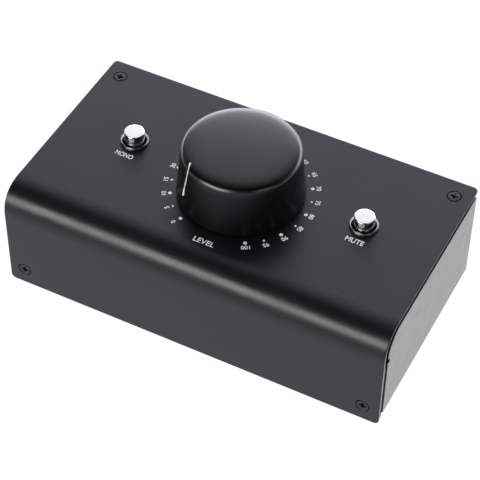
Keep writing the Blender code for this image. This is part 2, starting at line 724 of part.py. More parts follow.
def make_button(name, finishes, axis):
    # heights are over the cover's top, where the button's axis has its origin
    cap_low = CAP_RISE - CAP_LENGTH
    collar_top = cap_low - GAP
    collar_low = collar_top - COLLAR_HEIGHT
    tip_top = collar_top + PLUNGER_TIP
    cap_bore_top = tip_top + GAP
    cap_bore = PLUNGER_RADIUS + GAP
    cap_outline = [(0, cap_bore_top), (cap_bore, cap_bore_top), (cap_bore, cap_low), (CAP_RADIUS, cap_low)]
    cap_outline += arc(CAP_RADIUS - CAP_EDGE, CAP_RISE - CAP_EDGE, CAP_EDGE, 0, QUARTER_TURN, EDGE_STEPS)
    cap_outline.append((0, CAP_RISE))
    cap = turned(name + "_button_cap", cap_outline, ROUND_STEPS, finishes["chrome"])
    put(cap, (0, 0, 0), parent=axis)

    bezel_bore = CAP_RADIUS + BEZEL_CLEARANCE
    sleeve = bezel_bore + BEZEL_SLEEVE_WALL
    foot = GAP + BEZEL_RIM
    half_band = BEZEL_BAND / 2
    crest = bezel_bore + half_band
    bezel_outline = [(bezel_bore, -BEZEL_SLEEVE_LENGTH), (sleeve, -BEZEL_SLEEVE_LENGTH), (sleeve, GAP)]
    bezel_outline += [(bezel_bore + BEZEL_BAND, GAP)]
    for radius_share, height_share in arc(0, 0, 1, 0, HALF_TURN, EDGE_STEPS * 2):
        radius = crest + half_band * radius_share
        bezel_outline.append((radius, foot + (BEZEL_HEIGHT - BEZEL_RIM) * height_share))
    bezel = turned(name + "_button_bezel", bezel_outline, ROUND_STEPS, finishes["chrome"], ring=True)
    put(bezel, (0, 0, 0), parent=axis)

    switch_low = CONTROL_BOARD_TOP + GAP - COVER_TOP
    switch_top = switch_low + SWITCH_HEIGHT
    plunger_floor = switch_low + SWITCH_WALL
    outline = rounded_rectangle(SWITCH_WIDTH, SWITCH_WIDTH, SWITCH_WALL / 2, CORNER_STEPS)
    switch = prism(name + "_switch", outline, switch_low, switch_top, finishes["black_plastic"])
    put(switch, (0, 0, 0), parent=axis)
    well = rod("cut_switch_" + name, PLUNGER_RADIUS + GAP, plunger_floor, switch_top + OVERRUN, PIN_STEPS)
    cut(switch, put(well, (0, 0, 0), parent=axis))

    plunger_outline = [
        (0, plunger_floor + GAP + BUTTON_TRAVEL),
        (PLUNGER_RADIUS, plunger_floor + GAP + BUTTON_TRAVEL),
        (PLUNGER_RADIUS, collar_low),
        (COLLAR_RADIUS, collar_low),
        (COLLAR_RADIUS, collar_top),
        (PLUNGER_RADIUS, collar_top),
        (PLUNGER_RADIUS, tip_top),
        (0, tip_top),
    ]
    plunger = turned(name + "_switch_plunger", plunger_outline, PIN_STEPS, finishes["black_plastic"])
    put(plunger, (0, 0, 0), parent=axis)
    make_spring(name, finishes, axis, switch_top + GAP + SPRING_WIRE, collar_low - GAP - SPRING_WIRE)


def make_spring(name, finishes, axis, low, high):
    curve = bpy.data.curves.new(name + "_switch_spring", "CURVE")
    curve.dimensions = "3D"
    curve.bevel_depth = SPRING_WIRE
    curve.bevel_resolution = 1
    curve.use_fill_caps = True
    wire = curve.splines.new("POLY")
    count = SPRING_TURNS * SPRING_POINTS
    wire.points.add(count)
    for i, point in enumerate(wire.points):
        turn = FULL_TURN * i / SPRING_POINTS
        height = low + (high - low) * i / count
        point.co = (SPRING_RADIUS * math.cos(turn), SPRING_RADIUS * math.sin(turn), height, 1)
    curve.materials.append(finishes["bright_steel"])
    spring = bpy.data.objects.new(name + "_switch_spring", curve)
    bpy.context.scene.collection.objects.link(spring)
    put(spring, (0, 0, 0), parent=axis)


def spacer_places():
    x = CONTROL_BOARD_SIDE - SPACER_INSET
    front = CONTROL_BOARD_FRONT + SPACER_INSET
    rear = CONTROL_BOARD_REAR - SPACER_INSET
    return {
        "front_left": (-x, front),
        "front_right": (x, front),
        "rear_left": (-x, rear),
        "rear_right": (x, rear),
    }


def make_control_board(finishes):
    board = box(
        "control_board",
        (-CONTROL_BOARD_SIDE, CONTROL_BOARD_FRONT, CONTROL_BOARD_UNDER),
        (CONTROL_BOARD_SIDE, CONTROL_BOARD_REAR, CONTROL_BOARD_TOP),
        finishes["circuit_board"],
    )
    for name, (x, y) in spacer_places().items():
        hole = rod(
            "cut_board_" + name,
            SCREW_HOLE_RADIUS,
            CONTROL_BOARD_UNDER - OVERRUN,
            CONTROL_BOARD_TOP + OVERRUN,
            PIN_STEPS,
        )
        cut(board, put(hole, (x, y, 0)))
        make_spacer(name, (x, y), finishes)
        make_board_screw(name, (x, y), finishes)


def make_spacer(name, place, finishes):
    low = CONTROL_BOARD_TOP + GAP
    spacer = prism("spacer_" + name, hexagon(SPACER_WIDTH), low, COVER_UNDER - GAP, finishes["bright_steel"])
    put(spacer, (*place, 0))
    bore = rod("cut_spacer_" + name, SCREW_HOLE_RADIUS, low - OVERRUN, low + SPACER_BORE_DEPTH, PIN_STEPS)
    cut(spacer, put(bore, (*place, 0)))


def make_board_screw(name, place, finishes):
    # local heights run down from the board's underside, so the screw is turned over
    edge = PAN_HEAD_RADIUS - PAN_HEAD_EDGE
    outline = [
        (0, -BOARD_SCREW_LENGTH),
        (SCREW_RADIUS - SCREW_TIP, -BOARD_SCREW_LENGTH),
        (SCREW_RADIUS, -BOARD_SCREW_LENGTH + SCREW_TIP),
        (SCREW_RADIUS, 0),
        (PAN_HEAD_RADIUS, 0),
        (PAN_HEAD_RADIUS, PAN_HEAD_HEIGHT - PAN_HEAD_EDGE),
        (edge, PAN_HEAD_HEIGHT),
        (0, PAN_HEAD_HEIGHT),
    ]
    screw = turned("board_screw_" + name, outline, PIN_STEPS, finishes["bright_steel"])
    put(screw, (*place, CONTROL_BOARD_UNDER - GAP), (HALF_TURN, 0, 0))
    cut_cross(screw, PAN_HEAD_HEIGHT)


def make_flat_cable(finishes):
    start = CONNECTOR_BOARD_FRONT - GAP
    level = SOCKET_HEIGHT - CABLE_DROP
    turn_at = start - CABLE_RUN
    half = CABLE_SHEET / 2
    centre = (turn_at, level + CABLE_BEND)
    end = CONTROL_BOARD_UNDER - GAP
    outline = [(start, level - half)]
    outline += arc(*centre, CABLE_BEND + half, -QUARTER_TURN, -HALF_TURN, BEND_STEPS)
    outline += [(turn_at - CABLE_BEND - half, end), (turn_at - CABLE_BEND + half, end)]
    outline += arc(*centre, CABLE_BEND - half, -HALF_TURN, -QUARTER_TURN, BEND_STEPS)
    outline += [(start, level + half)]
    prism("flat_cable", outline, -CABLE_WIDTH / 2, CABLE_WIDTH / 2, finishes["grey_cable"], "x")


def make_connector_board(finishes, output_axes):
    board = box(
        "connector_board",
        (-CONNECTOR_BOARD_SIDE, CONNECTOR_BOARD_FRONT, CONNECTOR_BOARD_LOW),
        (CONNECTOR_BOARD_SIDE, CONNECTOR_BOARD_REAR, CONNECTOR_BOARD_HIGH),
        finishes["circuit_board"],
    )
    rear = -BARREL_LENGTH - GAP
    for name, axis in output_axes.items():
        for number, (x, y) in enumerate(ring_places(PIN_RING), start=1):
            hole = rod(
                f"cut_connector_board_{name}_{number}",
                PIN_RADIUS + GAP,
                rear - BOARD_SHEET - OVERRUN,
                rear + OVERRUN,
                PIN_STEPS,
            )
            cut(board, put(hole, (x, y, 0), parent=axis))


def ring_places(radius):
    return [(radius * math.cos(angle), radius * math.sin(angle)) for angle in CONTACT_ANGLES]


def plate_screw_places():
    return {"upper": (-PLATE_SCREW_X, PLATE_SCREW_Y), "lower": (PLATE_SCREW_X, -PLATE_SCREW_Y)}


def add_plate(name, body, finishes, axis):
    # the flat plate of a socket or plug, joined to its barrel, and its two screws
    outline = rounded_rectangle(PLATE_WIDTH, PLATE_HEIGHT, PLATE_CORNER, CORNER_STEPS)
    plate = put(prism("join_plate_" + name, outline, GAP, PLATE_FACE), (0, 0, 0), parent=axis)
    middle = rod(
        "cut_plate_" + name,
        (WELL_RADIUS + BARREL_RADIUS) / 2,
        GAP - OVERRUN,
        PLATE_FACE + OVERRUN,
        ROUND_STEPS,
    )
    cut(plate, put(middle, (0, 0, 0), parent=axis))
    join(body, plate)
    for end, (x, y) in plate_screw_places().items():
        place = (x, y, PLATE_FACE)
        countersink(body, f"plate_{name}_{end}", place, (0, 0, 0), PLATE_SHEET, axis)
        sunk_screw(f"{name}_screw_{end}", place, (0, 0, 0), finishes["black_screw"], axis)


def cut_panel(tray, name, axis, with_latch):
    # the rear panel's round hole, its screw holes and, for an input, the latch notch
    low = -TRAY_SHEET - OVERRUN
    hole = rod("cut_panel_" + name, BARREL_RADIUS + GAP, low, OVERRUN, ROUND_STEPS)
    cut(tray, put(hole, (0, 0, 0), parent=axis))
    for end, (x, y) in plate_screw_places().items():
        screw_hole = rod(f"cut_panel_{name}_{end}", SCREW_HOLE_RADIUS, low, OVERRUN, FASTENER_STEPS)
        cut(tray, put(screw_hole, (x, y, 0), parent=axis))
    if with_latch:
        half = latch_housing_half() + GAP
        top = latch_housing_top() + GAP
        notch = box("cut_panel_latch_" + name, (-half, 0, low), (half, top, OVERRUN))
        cut(tray, put(notch, (0, 0, 0), parent=axis))


def latch_housing_half():
    return LATCH_WIDTH / 2 + GAP + LATCH_WALL


def latch_housing_top():
    return LATCH_RISE + LATCH_HEIGHT + GAP + LATCH_WALL


def make_input_socket(name, finishes, axis):
    lip = PLATE_FACE + LIP_HEIGHT
    insert_face = PLATE_FACE - INSERT_RECESS
    jack_floor = JACK_FLOOR - BARREL_LENGTH
    well_floor = PLATE_FACE - WELL_DEPTH
    outline = [
        (0, jack_floor),
        (JACK_RADIUS, jack_floor),
        (JACK_RADIUS, insert_face),
        (INSERT_RADIUS, insert_face),
        (INSERT_RADIUS, well_floor),
        (WELL_RADIUS, well_floor),
        (WELL_RADIUS, lip),
        (BARREL_RADIUS - LIP_HEIGHT, lip),
        (BARREL_RADIUS, PLATE_FACE),
        (BARREL_RADIUS, -BARREL_LENGTH),
        (0, -BARREL_LENGTH),
    ]
    socket = turned(name + "_socket", outline, ROUND_STEPS, finishes["black_plastic"])
    put(socket, (0, 0, 0), parent=axis)
    for number, (x, y) in enumerate(ring_places(CONTACT_RING), start=1):
        hole = rod(f"cut_{name}_{number}", CONTACT_HOLE_RADIUS, well_floor, PLATE_FACE, PIN_STEPS)
        cut(socket, put(hole, (x, y, 0), parent=axis))
    pocket_floor = PLATE_FACE + LATCH_PROUD - LATCH_LENGTH - LATCH_TRAVEL - GAP
    half = latch_housing_half()
    housing = box(
        "join_latch_" + name,
        (-half, WELL_RADIUS + LATCH_WALL / 2, pocket_floor - LATCH_WALL),
        (half, latch_housing_top(), PLATE_FACE - GAP),
    )
    join(socket, put(housing, (0, 0, 0), parent=axis))
    add_plate(name, socket, finishes, axis)
    pocket_half = LATCH_WIDTH / 2 + GAP
    pocket = box(
        "cut_latch_" + name,
        (-pocket_half, LATCH_RISE - GAP, pocket_floor),
        (pocket_half, LATCH_RISE + LATCH_HEIGHT + GAP, PLATE_FACE + OVERRUN),
    )
    cut(socket, put(pocket, (0, 0, 0), parent=axis))
    latch = box(
        name + "_latch",
        (-LATCH_WIDTH / 2, LATCH_RISE, PLATE_FACE + LATCH_PROUD - LATCH_LENGTH),
        (LATCH_WIDTH / 2, LATCH_RISE + LATCH_HEIGHT, PLATE_FACE + LATCH_PROUD),
        finishes["bright_steel"],
    )
    put(latch, (0, 0, 0), parent=axis)


def make_output_plug(name, finishes, axis):
    lip = PLATE_FACE + LIP_HEIGHT
    shell_floor = -SHELL_LENGTH + SHELL_LIP
    outline = [
        (SHELL_LIP_RADIUS, -SHELL_LENGTH),
        (BARREL_RADIUS, -SHELL_LENGTH),
        (BARREL_RADIUS, PLATE_FACE),
        (BARREL_RADIUS - LIP_HEIGHT, lip),
        (WELL_RADIUS, lip),
        (WELL_RADIUS, shell_floor),
        (SHELL_LIP_RADIUS, shell_floor),
    ]
    shell = turned(name + "_shell", outline, ROUND_STEPS, finishes["bright_steel"], ring=True)
    put(shell, (0, 0, 0), parent=axis)
    add_plate(name, shell, finishes, axis)

    insert_low = shell_floor + GAP
    insert_outline = [
        (0, -BARREL_LENGTH),
        (SHELL_LIP_RADIUS - GAP, -BARREL_LENGTH),
        (SHELL_LIP_RADIUS - GAP, insert_low),
        (WELL_RADIUS - GAP, insert_low),
        (WELL_RADIUS - GAP, insert_low + INSERT_THICKNESS),
        (0, insert_low + INSERT_THICKNESS),
    ]
    insert = turned(name + "_insert", insert_outline, SMALL_STEPS, finishes["black_plastic"])
    put(insert, (0, 0, 0), parent=axis)
    tail = -BARREL_LENGTH - GAP - BOARD_SHEET - PIN_TAIL
    tip = PLATE_FACE - PIN_SINK
    pin_outline = [
        (0, tail),
        (PIN_RADIUS, tail),
        (PIN_RADIUS, tip - PIN_POINT),
        (PIN_RADIUS - PIN_POINT, tip),
        (0, tip),
    ]
    for number, (x, y) in enumerate(ring_places(PIN_RING), start=1):
        hole = rod(
            f"cut_{name}_{number}",
            PIN_RADIUS + GAP,
            -BARREL_LENGTH - OVERRUN,
            insert_low + INSERT_THICKNESS + OVERRUN,
            PIN_STEPS,
        )
        cut(insert, put(hole, (x, y, 0), parent=axis))
        pin = turned(f"{name}_pin_{number}", pin_outline, PIN_STEPS, finishes["gold_plate"])
        put(pin, (x, y, 0), parent=axis)


def socket_axes():
    # the inputs and outputs side by side, their local +Z pointing out of the rear panel
    names = ("left_input", "right_input", "left_output", "right_output")
    first = SOCKET_SIDE_INSET - COVER_SIDE
    pitch = -2 * first / (len(names) - 1)
    axes = {}
    for number, name in enumerate(names):
        place = (first + pitch * number, PANEL_FACE, SOCKET_HEIGHT)
        axes[name] = new_axis(name + "_axis", place, (QUARTER_TURN, 0, HALF_TURN))
    return axes


def main():
    remove_everything()
    finishes = make_finishes()
    make_cover(finishes)
    make_cover_screws(finishes)
    tray = make_tray(finishes)
    make_feet(finishes)

    knob_axis = new_axis("knob_axis", (0, 0, COVER_TOP))
    make_knob(finishes, knob_axis)
    make_potentiometer(finishes, knob_axis)
    for name, x in button_places().items():
        make_button(name, finishes, new_axis(name + "_axis", (x, BUTTON_Y, COVER_TOP)))

    axes = socket_axes()
    outputs = {name: axis for name, axis in axes.items() if name.endswith("output")}
    for name, axis in axes.items():
        if name in outputs:
            make_output_plug(name, finishes, axis)
        else:
            make_input_socket(name, finishes, axis)
        cut_panel(tray, name, axis, with_latch=name not in outputs)
    make_control_board(finishes)
    make_connector_board(finishes, outputs)
    make_flat_cable(finishes)


main()
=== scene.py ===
# Looks of the studio monitor controller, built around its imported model.
# Metres, +Z up, the front towards -Y, as in the model itself.

import math

import bmesh
import bpy
from mathutils import Matrix, Vector


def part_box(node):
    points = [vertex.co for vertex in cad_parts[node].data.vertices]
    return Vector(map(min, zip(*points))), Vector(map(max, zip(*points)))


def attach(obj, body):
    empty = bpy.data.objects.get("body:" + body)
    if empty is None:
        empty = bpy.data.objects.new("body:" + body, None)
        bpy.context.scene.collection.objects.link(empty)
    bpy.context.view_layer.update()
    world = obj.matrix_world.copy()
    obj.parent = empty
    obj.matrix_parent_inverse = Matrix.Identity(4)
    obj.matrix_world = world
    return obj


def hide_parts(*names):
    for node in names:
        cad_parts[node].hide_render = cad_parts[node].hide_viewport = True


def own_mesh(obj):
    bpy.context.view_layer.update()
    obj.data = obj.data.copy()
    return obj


mm = 0.001
fullTurn = 2 * math.pi
halfTurn = math.pi
quarterTurn = math.pi / 2
toFront = (quarterTurn, 0, 0)
toRear = (quarterTurn, 0, halfTurn)
facing = 0.9  # a normal with more than this along an axis faces that way
roundSteps = 96  # sides of a turned piece, where nothing else is said

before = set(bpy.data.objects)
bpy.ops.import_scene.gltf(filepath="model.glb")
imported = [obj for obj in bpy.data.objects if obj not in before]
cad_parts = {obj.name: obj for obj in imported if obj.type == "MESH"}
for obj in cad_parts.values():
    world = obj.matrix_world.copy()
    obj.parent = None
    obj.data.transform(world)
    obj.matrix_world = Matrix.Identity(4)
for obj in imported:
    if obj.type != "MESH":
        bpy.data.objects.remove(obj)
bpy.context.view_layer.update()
print("Model loaded,", len(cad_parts), "nodes")


# Working helpers


def deselectAll():
    if bpy.context.object and bpy.context.object.mode == "EDIT":
        bpy.ops.object.mode_set(mode="OBJECT")
    bpy.ops.object.select_all(action="DESELECT")


def pickOnly(obj):
    deselectAll()
    obj.select_set(True)
    bpy.context.view_layer.objects.active = obj


def discard(tool):
    bpy.data.objects.remove(tool, do_unlink=True)


def nameNew(name):
    # the primitive just added gets its name, and its place goes into its mesh
    obj = bpy.context.object
    obj.name = name
    obj.data.name = name
    bpy.ops.object.transform_apply(location=True, rotation=True, scale=True)
    return obj


def addBox(name, low, high):
    low, high = Vector(low), Vector(high)
    deselectAll()
    bpy.ops.mesh.primitive_cube_add(size=1, location=(low + high) / 2)
    bpy.context.object.scale = high - low
    return nameNew(name)


def addRod(name, radius, low, high, steps=64):
    # an upright round bar between two heights
    deselectAll()
    place = (0, 0, (low + high) / 2)
    bpy.ops.mesh.primitive_cylinder_add(vertices=steps, radius=radius, depth=high - low, location=place)
    return nameNew(name)


def editMode(obj, selectMode="EDGE"):
    pickOnly(obj)
    bpy.ops.object.mode_set(mode="EDIT")
    bpy.ops.mesh.select_mode(type=selectMode)
    bpy.ops.mesh.select_all(action="DESELECT")


def objectMode():
    bpy.ops.object.mode_set(mode="OBJECT")


def onAll(operator, **settings):
    # one edit mode operator on the whole mesh
    bpy.ops.mesh.select_all(action="SELECT")
    operator(**settings)


def selectParts(obj, selectMode, kind, wanted):
    # leaves edit mode on, with the vertices, edges or faces that pass the test selected
    editMode(obj, selectMode)
    editMesh = bmesh.from_edit_mesh(obj.data)
    for part in getattr(editMesh, kind):
        if wanted(part):
            part.select_set(True)
    editMesh.select_flush_mode()
    bmesh.update_edit_mesh(obj.data)


def selectVertices(obj, wanted):
    # the test gets a vertex's place
    selectParts(obj, "VERT", "verts", lambda vertex: wanted(vertex.co))


def selectEdges(obj, wanted):
    # the test gets the places of an edge's two ends
    selectParts(obj, "EDGE", "edges", lambda edge: wanted(edge.verts[0].co, edge.verts[1].co))


def selectFaces(obj, wanted):
    # the test gets a face's centre and normal
    selectParts(obj, "FACE", "faces", lambda face: wanted(face.calc_center_median(), face.normal))


def close(first, second, slack=0.01 * mm):
    return abs(first - second) < slack


def bothEnds(test):
    # turns a test of one place into a test of an edge
    return lambda a, b: test(a) and test(b)


def bevelEdges(obj, wanted, width, steps, shape=0.5):
    selectEdges(obj, wanted)
    bpy.ops.mesh.bevel(offset=width, segments=steps, profile=shape, affect="EDGES")
    objectMode()


def modify(obj, kind, **settings):
    # adds one modifier with its settings and applies it
    pickOnly(obj)
    step = obj.modifiers.new(kind.title(), kind)
    for key, value in settings.items():
        setattr(step, key, value)
    bpy.ops.object.modifier_apply(modifier=step.name)


def combine(obj, tool, operation):
    # the tool is gone afterwards
    modify(obj, "BOOLEAN", object=tool, operation=operation, solver="EXACT")
    discard(tool)


def cut(obj, tool):
    combine(obj, tool, "DIFFERENCE")


def fuse(obj, tool):
    combine(obj, tool, "UNION")


def roundEdges(obj, width, segments=2, angle=40, clamp=True):
    modify(
        obj,
        "BEVEL",
        width=width,
        segments=segments,
        limit_method="ANGLE",
        angle_limit=math.radians(angle),
        miter_outer="MITER_ARC",
        use_clamp_overlap=clamp,
    )


def smooth(obj, angle=35, flatFirst=False):
    pickOnly(obj)
    bpy.ops.object.shade_smooth_by_angle(angle=math.radians(angle))
    if flatFirst:  # large flats keep their own direction beside small roundings
        modify(obj, "WEIGHTED_NORMAL", keep_sharp=True, mode="FACE_AREA")


def moveMesh(obj, place=(0, 0, 0), turn=None):
    # turns and then moves the mesh itself, so that the object stays at the origin
    pickOnly(obj)
    if turn:
        obj.rotation_euler = turn
    obj.location = place
    bpy.ops.object.transform_apply(location=True, rotation=True, scale=True)


def copyPiece(obj, name, place=(0, 0, 0), turn=None):
    pickOnly(obj)
    bpy.ops.object.duplicate()
    twin = bpy.context.object
    twin.name = name
    twin.data.name = name
    moveMesh(twin, place, turn)
    return twin


def repeatTool(obj, tool, spots, action=cut):
    # a copy of the tool works on the piece at each spot, a place with a turn
    for place, turn in spots:
        action(obj, copyPiece(tool, "toolCopy", place, turn))
    discard(tool)


def joinAll(name, parts):
    pickOnly(parts[0])
    for part in parts:
        part.select_set(True)
    bpy.ops.object.join()
    whole = bpy.context.object
    whole.name = name
    whole.data.name = name
    return whole


def arcPoints(centre, radius, start, end, steps):
    # points on an arc in a (radius, height) outline, angles in degrees
    points = []
    for step in range(steps + 1):
        angle = math.radians(start + (end - start) * step / steps)
        points.append((centre[0] + radius * math.cos(angle), centre[1] + radius * math.sin(angle)))
    return points


def domePoints(radius, foot, rise, steps):
    # points from a dome's rim to its middle, with its rise at each share of the radius
    shares = [1 - step / steps for step in range(1, steps + 1)]
    return [(radius * share, foot + rise(share)) for share in shares]


def turnedPiece(name, outline, steps=roundSteps, closedRing=False):
    # draws the outline by extruding one vertex and spins it about the Z axis
    weld = 0.001 * mm
    deselectAll()
    bpy.ops.mesh.primitive_plane_add(size=mm)
    obj = nameNew(name)
    editMode(obj, "VERT")
    onAll(bpy.ops.mesh.merge, type="CENTER")
    start = Vector((outline[0][0], 0, outline[0][1]))
    onAll(bpy.ops.transform.translate, value=start)
    points = outline[1:] + outline[:1] if closedRing else outline[1:]
    for radius, height in points:
        point = Vector((radius, 0, height))
        bpy.ops.mesh.extrude_vertices_move(TRANSFORM_OT_translate={"value": point - start})
        start = point
    onAll(bpy.ops.mesh.remove_doubles, threshold=weld)
    around = {"center": (0, 0, 0), "axis": (0, 0, 1)}
    onAll(bpy.ops.mesh.spin, steps=steps, angle=fullTurn, use_auto_merge=False, **around)
    onAll(bpy.ops.mesh.remove_doubles, threshold=weld)
    onAll(bpy.ops.mesh.normals_make_consistent, inside=False)
    objectMode()
    return obj


def finishPiece(obj, body, slot, material, *nodes):
    obj.data.materials.clear()
    obj.data.materials.append(material)
    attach(obj, body)
    if nodes:
        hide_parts(*nodes)


def paintFaces(obj, material, wanted):
    # one more material, on the faces that pass the test
    obj.data.materials.append(material)
    selectFaces(obj, wanted)
    obj.active_material_index = len(obj.data.materials) - 1
    bpy.ops.object.material_slot_assign()
    objectMode()


def middleOf(node):
    low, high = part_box(node)
    return (low + high) / 2


# Materials

# The grain of a blasted, rolled, brushed or moulded surface is finer than a pixel of the photo's view,
# so its noise is drawn a few times as coarse as the real one, which lets it show.
patternSpan = (0.3, 0.7)  # nearly all of a noise lies between these values


def linear(code):
    # an sRGB hex colour as the linear values that the shader takes
    parts = [int(code[i : i + 2], 16) / 255 for i in (0, 2, 4)]
    return [p / 12.92 if p <= 0.04045 else ((p + 0.055) / 1.055) ** 2.4 for p in parts] + [1.0]


def addNode(tree, kind, settings=None, links=None, stops=()):
    # one node: its settings and input values, the sockets that feed it, and the stops of its ramp
    node = tree.nodes.new("ShaderNode" + kind)
    for key, value in (settings or {}).items():
        if isinstance(key, int) or key in node.inputs:
            node.inputs[key].default_value = value
        else:
            setattr(node, key, value)
    for key, source in (links or {}).items():
        tree.links.new(source, node.inputs[key])
    for number, (position, colour) in enumerate(stops):
        elements = node.color_ramp.elements
        element = elements[number] if number < len(elements) else elements.new(position)
        element.position = position
        element.color = colour
    return node


def shaderOf(material):
    return material.node_tree.nodes["Principled BSDF"]


def newMaterial(name, colour, roughness, metallic=0.0):
    # the coats and plastics here all have an IOR of about 1.5, which is the shader's own
    material = bpy.data.materials.new(name)
    material.use_nodes = True
    shader = shaderOf(material)
    shader.inputs["Base Color"].default_value = linear(colour)
    shader.inputs["Roughness"].default_value = roughness
    shader.inputs["Metallic"].default_value = metallic
    return material


def surfaceOf(material):
    # its tree, and the place on the object that a pattern reads
    tree = material.node_tree
    return tree, addNode(tree, "TexCoord").outputs["Object"]


def perMetre(sizeInMm):
    # the scale of a noise whose blobs are that many millimetres across
    return 1 / (sizeInMm * mm)


def ranges(fromLow, fromHigh, toLow, toHigh):
    return {"From Min": fromLow, "From Max": fromHigh, "To Min": toLow, "To Max": toHigh}


def tints(dark, light):
    return list(zip(patternSpan, (linear(dark), linear(light))))


def vary(material, pattern, colours=None, shine=None, relief=None):
    # one pattern moves the colour between two, the roughness between two, and the height by a depth
    tree = material.node_tree
    inputs = shaderOf(material).inputs
    if colours:
        ramp = addNode(tree, "ValToRGB", links={"Fac": pattern}, stops=tints(*colours))
        tree.links.new(ramp.outputs["Color"], inputs["Base Color"])
    if shine:
        rough = addNode(tree, "MapRange", ranges(*patternSpan, *shine), {"Value": pattern})
        tree.links.new(rough.outputs["Result"], inputs["Roughness"])
    if relief:
        depth, strength = relief
        bump = addNode(tree, "Bump", {"Strength": strength, "Distance": depth * mm}, {"Height": pattern})
        for link in inputs["Normal"].links:  # an earlier relief lies under this one
            tree.links.new(link.from_socket, bump.inputs["Normal"])
        tree.links.new(bump.outputs["Normal"], inputs["Normal"])


def mottled(name, colour, roughness, metallic, size, detail, **changes):
    # a finish whose one pattern is a noise, with blobs of that size in millimetres
    material = newMaterial(name, colour, roughness, metallic)
    tree, where = surfaceOf(material)
    noise = addNode(tree, "TexNoise", {"Scale": perMetre(size), "Detail": detail}, {"Vector": where})
    vary(material, noise.outputs["Fac"], **changes)
    return material


def powderCoat():
    # black polyester powder coat on steel sheet: satin, with a fine even grain over a faint orange peel
    material = newMaterial("black satin powder coat", "0b0b0e", 0.34)
    tree, where = surfaceOf(material)
    grain = addNode(tree, "TexNoise", {"Scale": perMetre(0.45), "Detail": 3.0}, {"Vector": where})
    peel = addNode(tree, "TexNoise", {"Scale": perMetre(1.6), "Detail": 1.0}, {"Vector": where})
    patches = addNode(tree, "TexNoise", {"Scale": perMetre(22), "Detail": 2.0}, {"Vector": where})
    vary(material, patches.outputs["Fac"], shine=(0.31, 0.37))
    vary(material, peel.outputs["Fac"], relief=(0.03, 1.0))
    vary(material, grain.outputs["Fac"], ("0a090d", "100f14"), relief=(0.02, 0.5))
    return material


def edgeSteelWithHighlight():
    # cut edge of the sheet: bare steel where the coat is thin, and its light colour is partly a painted
    # highlight, the line of light along the edge
    material = newMaterial("sheared steel edge with painted highlight", "6f6f6d", 0.4, 0.8)
    tree, where = surfaceOf(material)
    lighterBelow, darkerAbove = 34 * mm, 44 * mm
    markShare = 0.2
    marks = addNode(tree, "TexNoise", {"Scale": perMetre(2.5), "Detail": 3.0}, {"Vector": where})
    height = addNode(tree, "SeparateXYZ", links={"Vector": where}).outputs["Z"]
    # painted highlight: the edge is lighter below 34 mm and darker above 44 mm
    fade = addNode(tree, "MapRange", ranges(lighterBelow, darkerAbove, 0.6, 0.2), {"Value": height})
    adding = {0: marks.outputs["Fac"], 2: fade.outputs["Result"]}
    shade = addNode(tree, "Math", {"operation": "MULTIPLY_ADD", 1: markShare}, adding)
    vary(material, shade.outputs[0], ("1c1c1d", "b4b4b0"))
    return material


def zincPlate():
    # passivated zinc plate on folded steel: light grey, satin, faintly mottled and rolled
    material = newMaterial("passivated zinc plate", "abada6", 0.45, 0.9)
    tree, where = surfaceOf(material)
    stretch = addNode(tree, "Mapping", {"Scale": (1.0, 0.06, 1.0)}, {"Vector": where}).outputs["Vector"]
    rolling = addNode(tree, "TexNoise", {"Scale": perMetre(0.3), "Detail": 2.0}, {"Vector": stretch})
    mottle = addNode(tree, "TexNoise", {"Scale": perMetre(6), "Detail": 3.0}, {"Vector": where})
    vary(material, mottle.outputs["Fac"], ("a5a7a0", "b0b2ab"))
    vary(material, rolling.outputs["Fac"], shine=(0.38, 0.52), relief=(0.01, 0.4))
    return material


def blackAnodised():
    # black anodised aluminium: the top is turned to a satin shine, the side is blasted duller, and the
    # side's darker colour is painted shade
    material = newMaterial("black anodised aluminium", "4a4a49", 0.26, 1.0)
    tree, where = surfaceOf(material)
    sideEnds, topStarts = 66 * mm, 70 * mm
    duller = 0.18  # how much rougher the side is
    noise = addNode(tree, "TexNoise", {"Scale": perMetre(0.3), "Detail": 2.0}, {"Vector": where})
    blast = noise.outputs["Fac"]
    height = addNode(tree, "SeparateXYZ", links={"Vector": where}).outputs["Z"]
    fade = addNode(tree, "MapRange", ranges(sideEnds, topStarts, 1.0, 0.0), {"Value": height})
    side = fade.outputs["Result"]
    turned = addNode(tree, "ValToRGB", links={"Fac": blast}, stops=tints("49494a", "4b4b4a"))
    # painted shade: the side's colour is darker than the top's
    sideShade = addNode(tree, "ValToRGB", links={"Fac": blast}, stops=tints("323234", "353537"))
    mixing = {0: side, 6: turned.outputs["Color"], 7: sideShade.outputs["Color"]}
    colour = addNode(tree, "Mix", {"data_type": "RGBA"}, mixing)
    inputs = shaderOf(material).inputs
    tree.links.new(colour.outputs[2], inputs["Base Color"])
    shine = addNode(tree, "MapRange", ranges(*patternSpan, 0.25, 0.27), {"Value": blast})
    adding = {0: side, 2: shine.outputs["Result"]}
    rough = addNode(tree, "Math", {"operation": "MULTIPLY_ADD", 1: duller}, adding)
    tree.links.new(rough.outputs[0], inputs["Roughness"])
    vary(material, blast, relief=(0.01, 0.03))
    return material


def solderMask():
    # green solder mask over glass cloth: glossy, with the weave just showing
    material = newMaterial("green solder mask", "1c5a38", 0.3)
    tree, where = surfaceOf(material)
    weave = addNode(tree, "TexChecker", {"Scale": perMetre(1.2)}, {"Vector": where})
    patches = addNode(tree, "TexNoise", {"Scale": perMetre(5), "Detail": 2.0}, {"Vector": where})
    vary(material, patches.outputs["Fac"], ("185233", "22633f"))
    vary(material, weave.outputs["Fac"], relief=(0.004, 0.3))
    return material


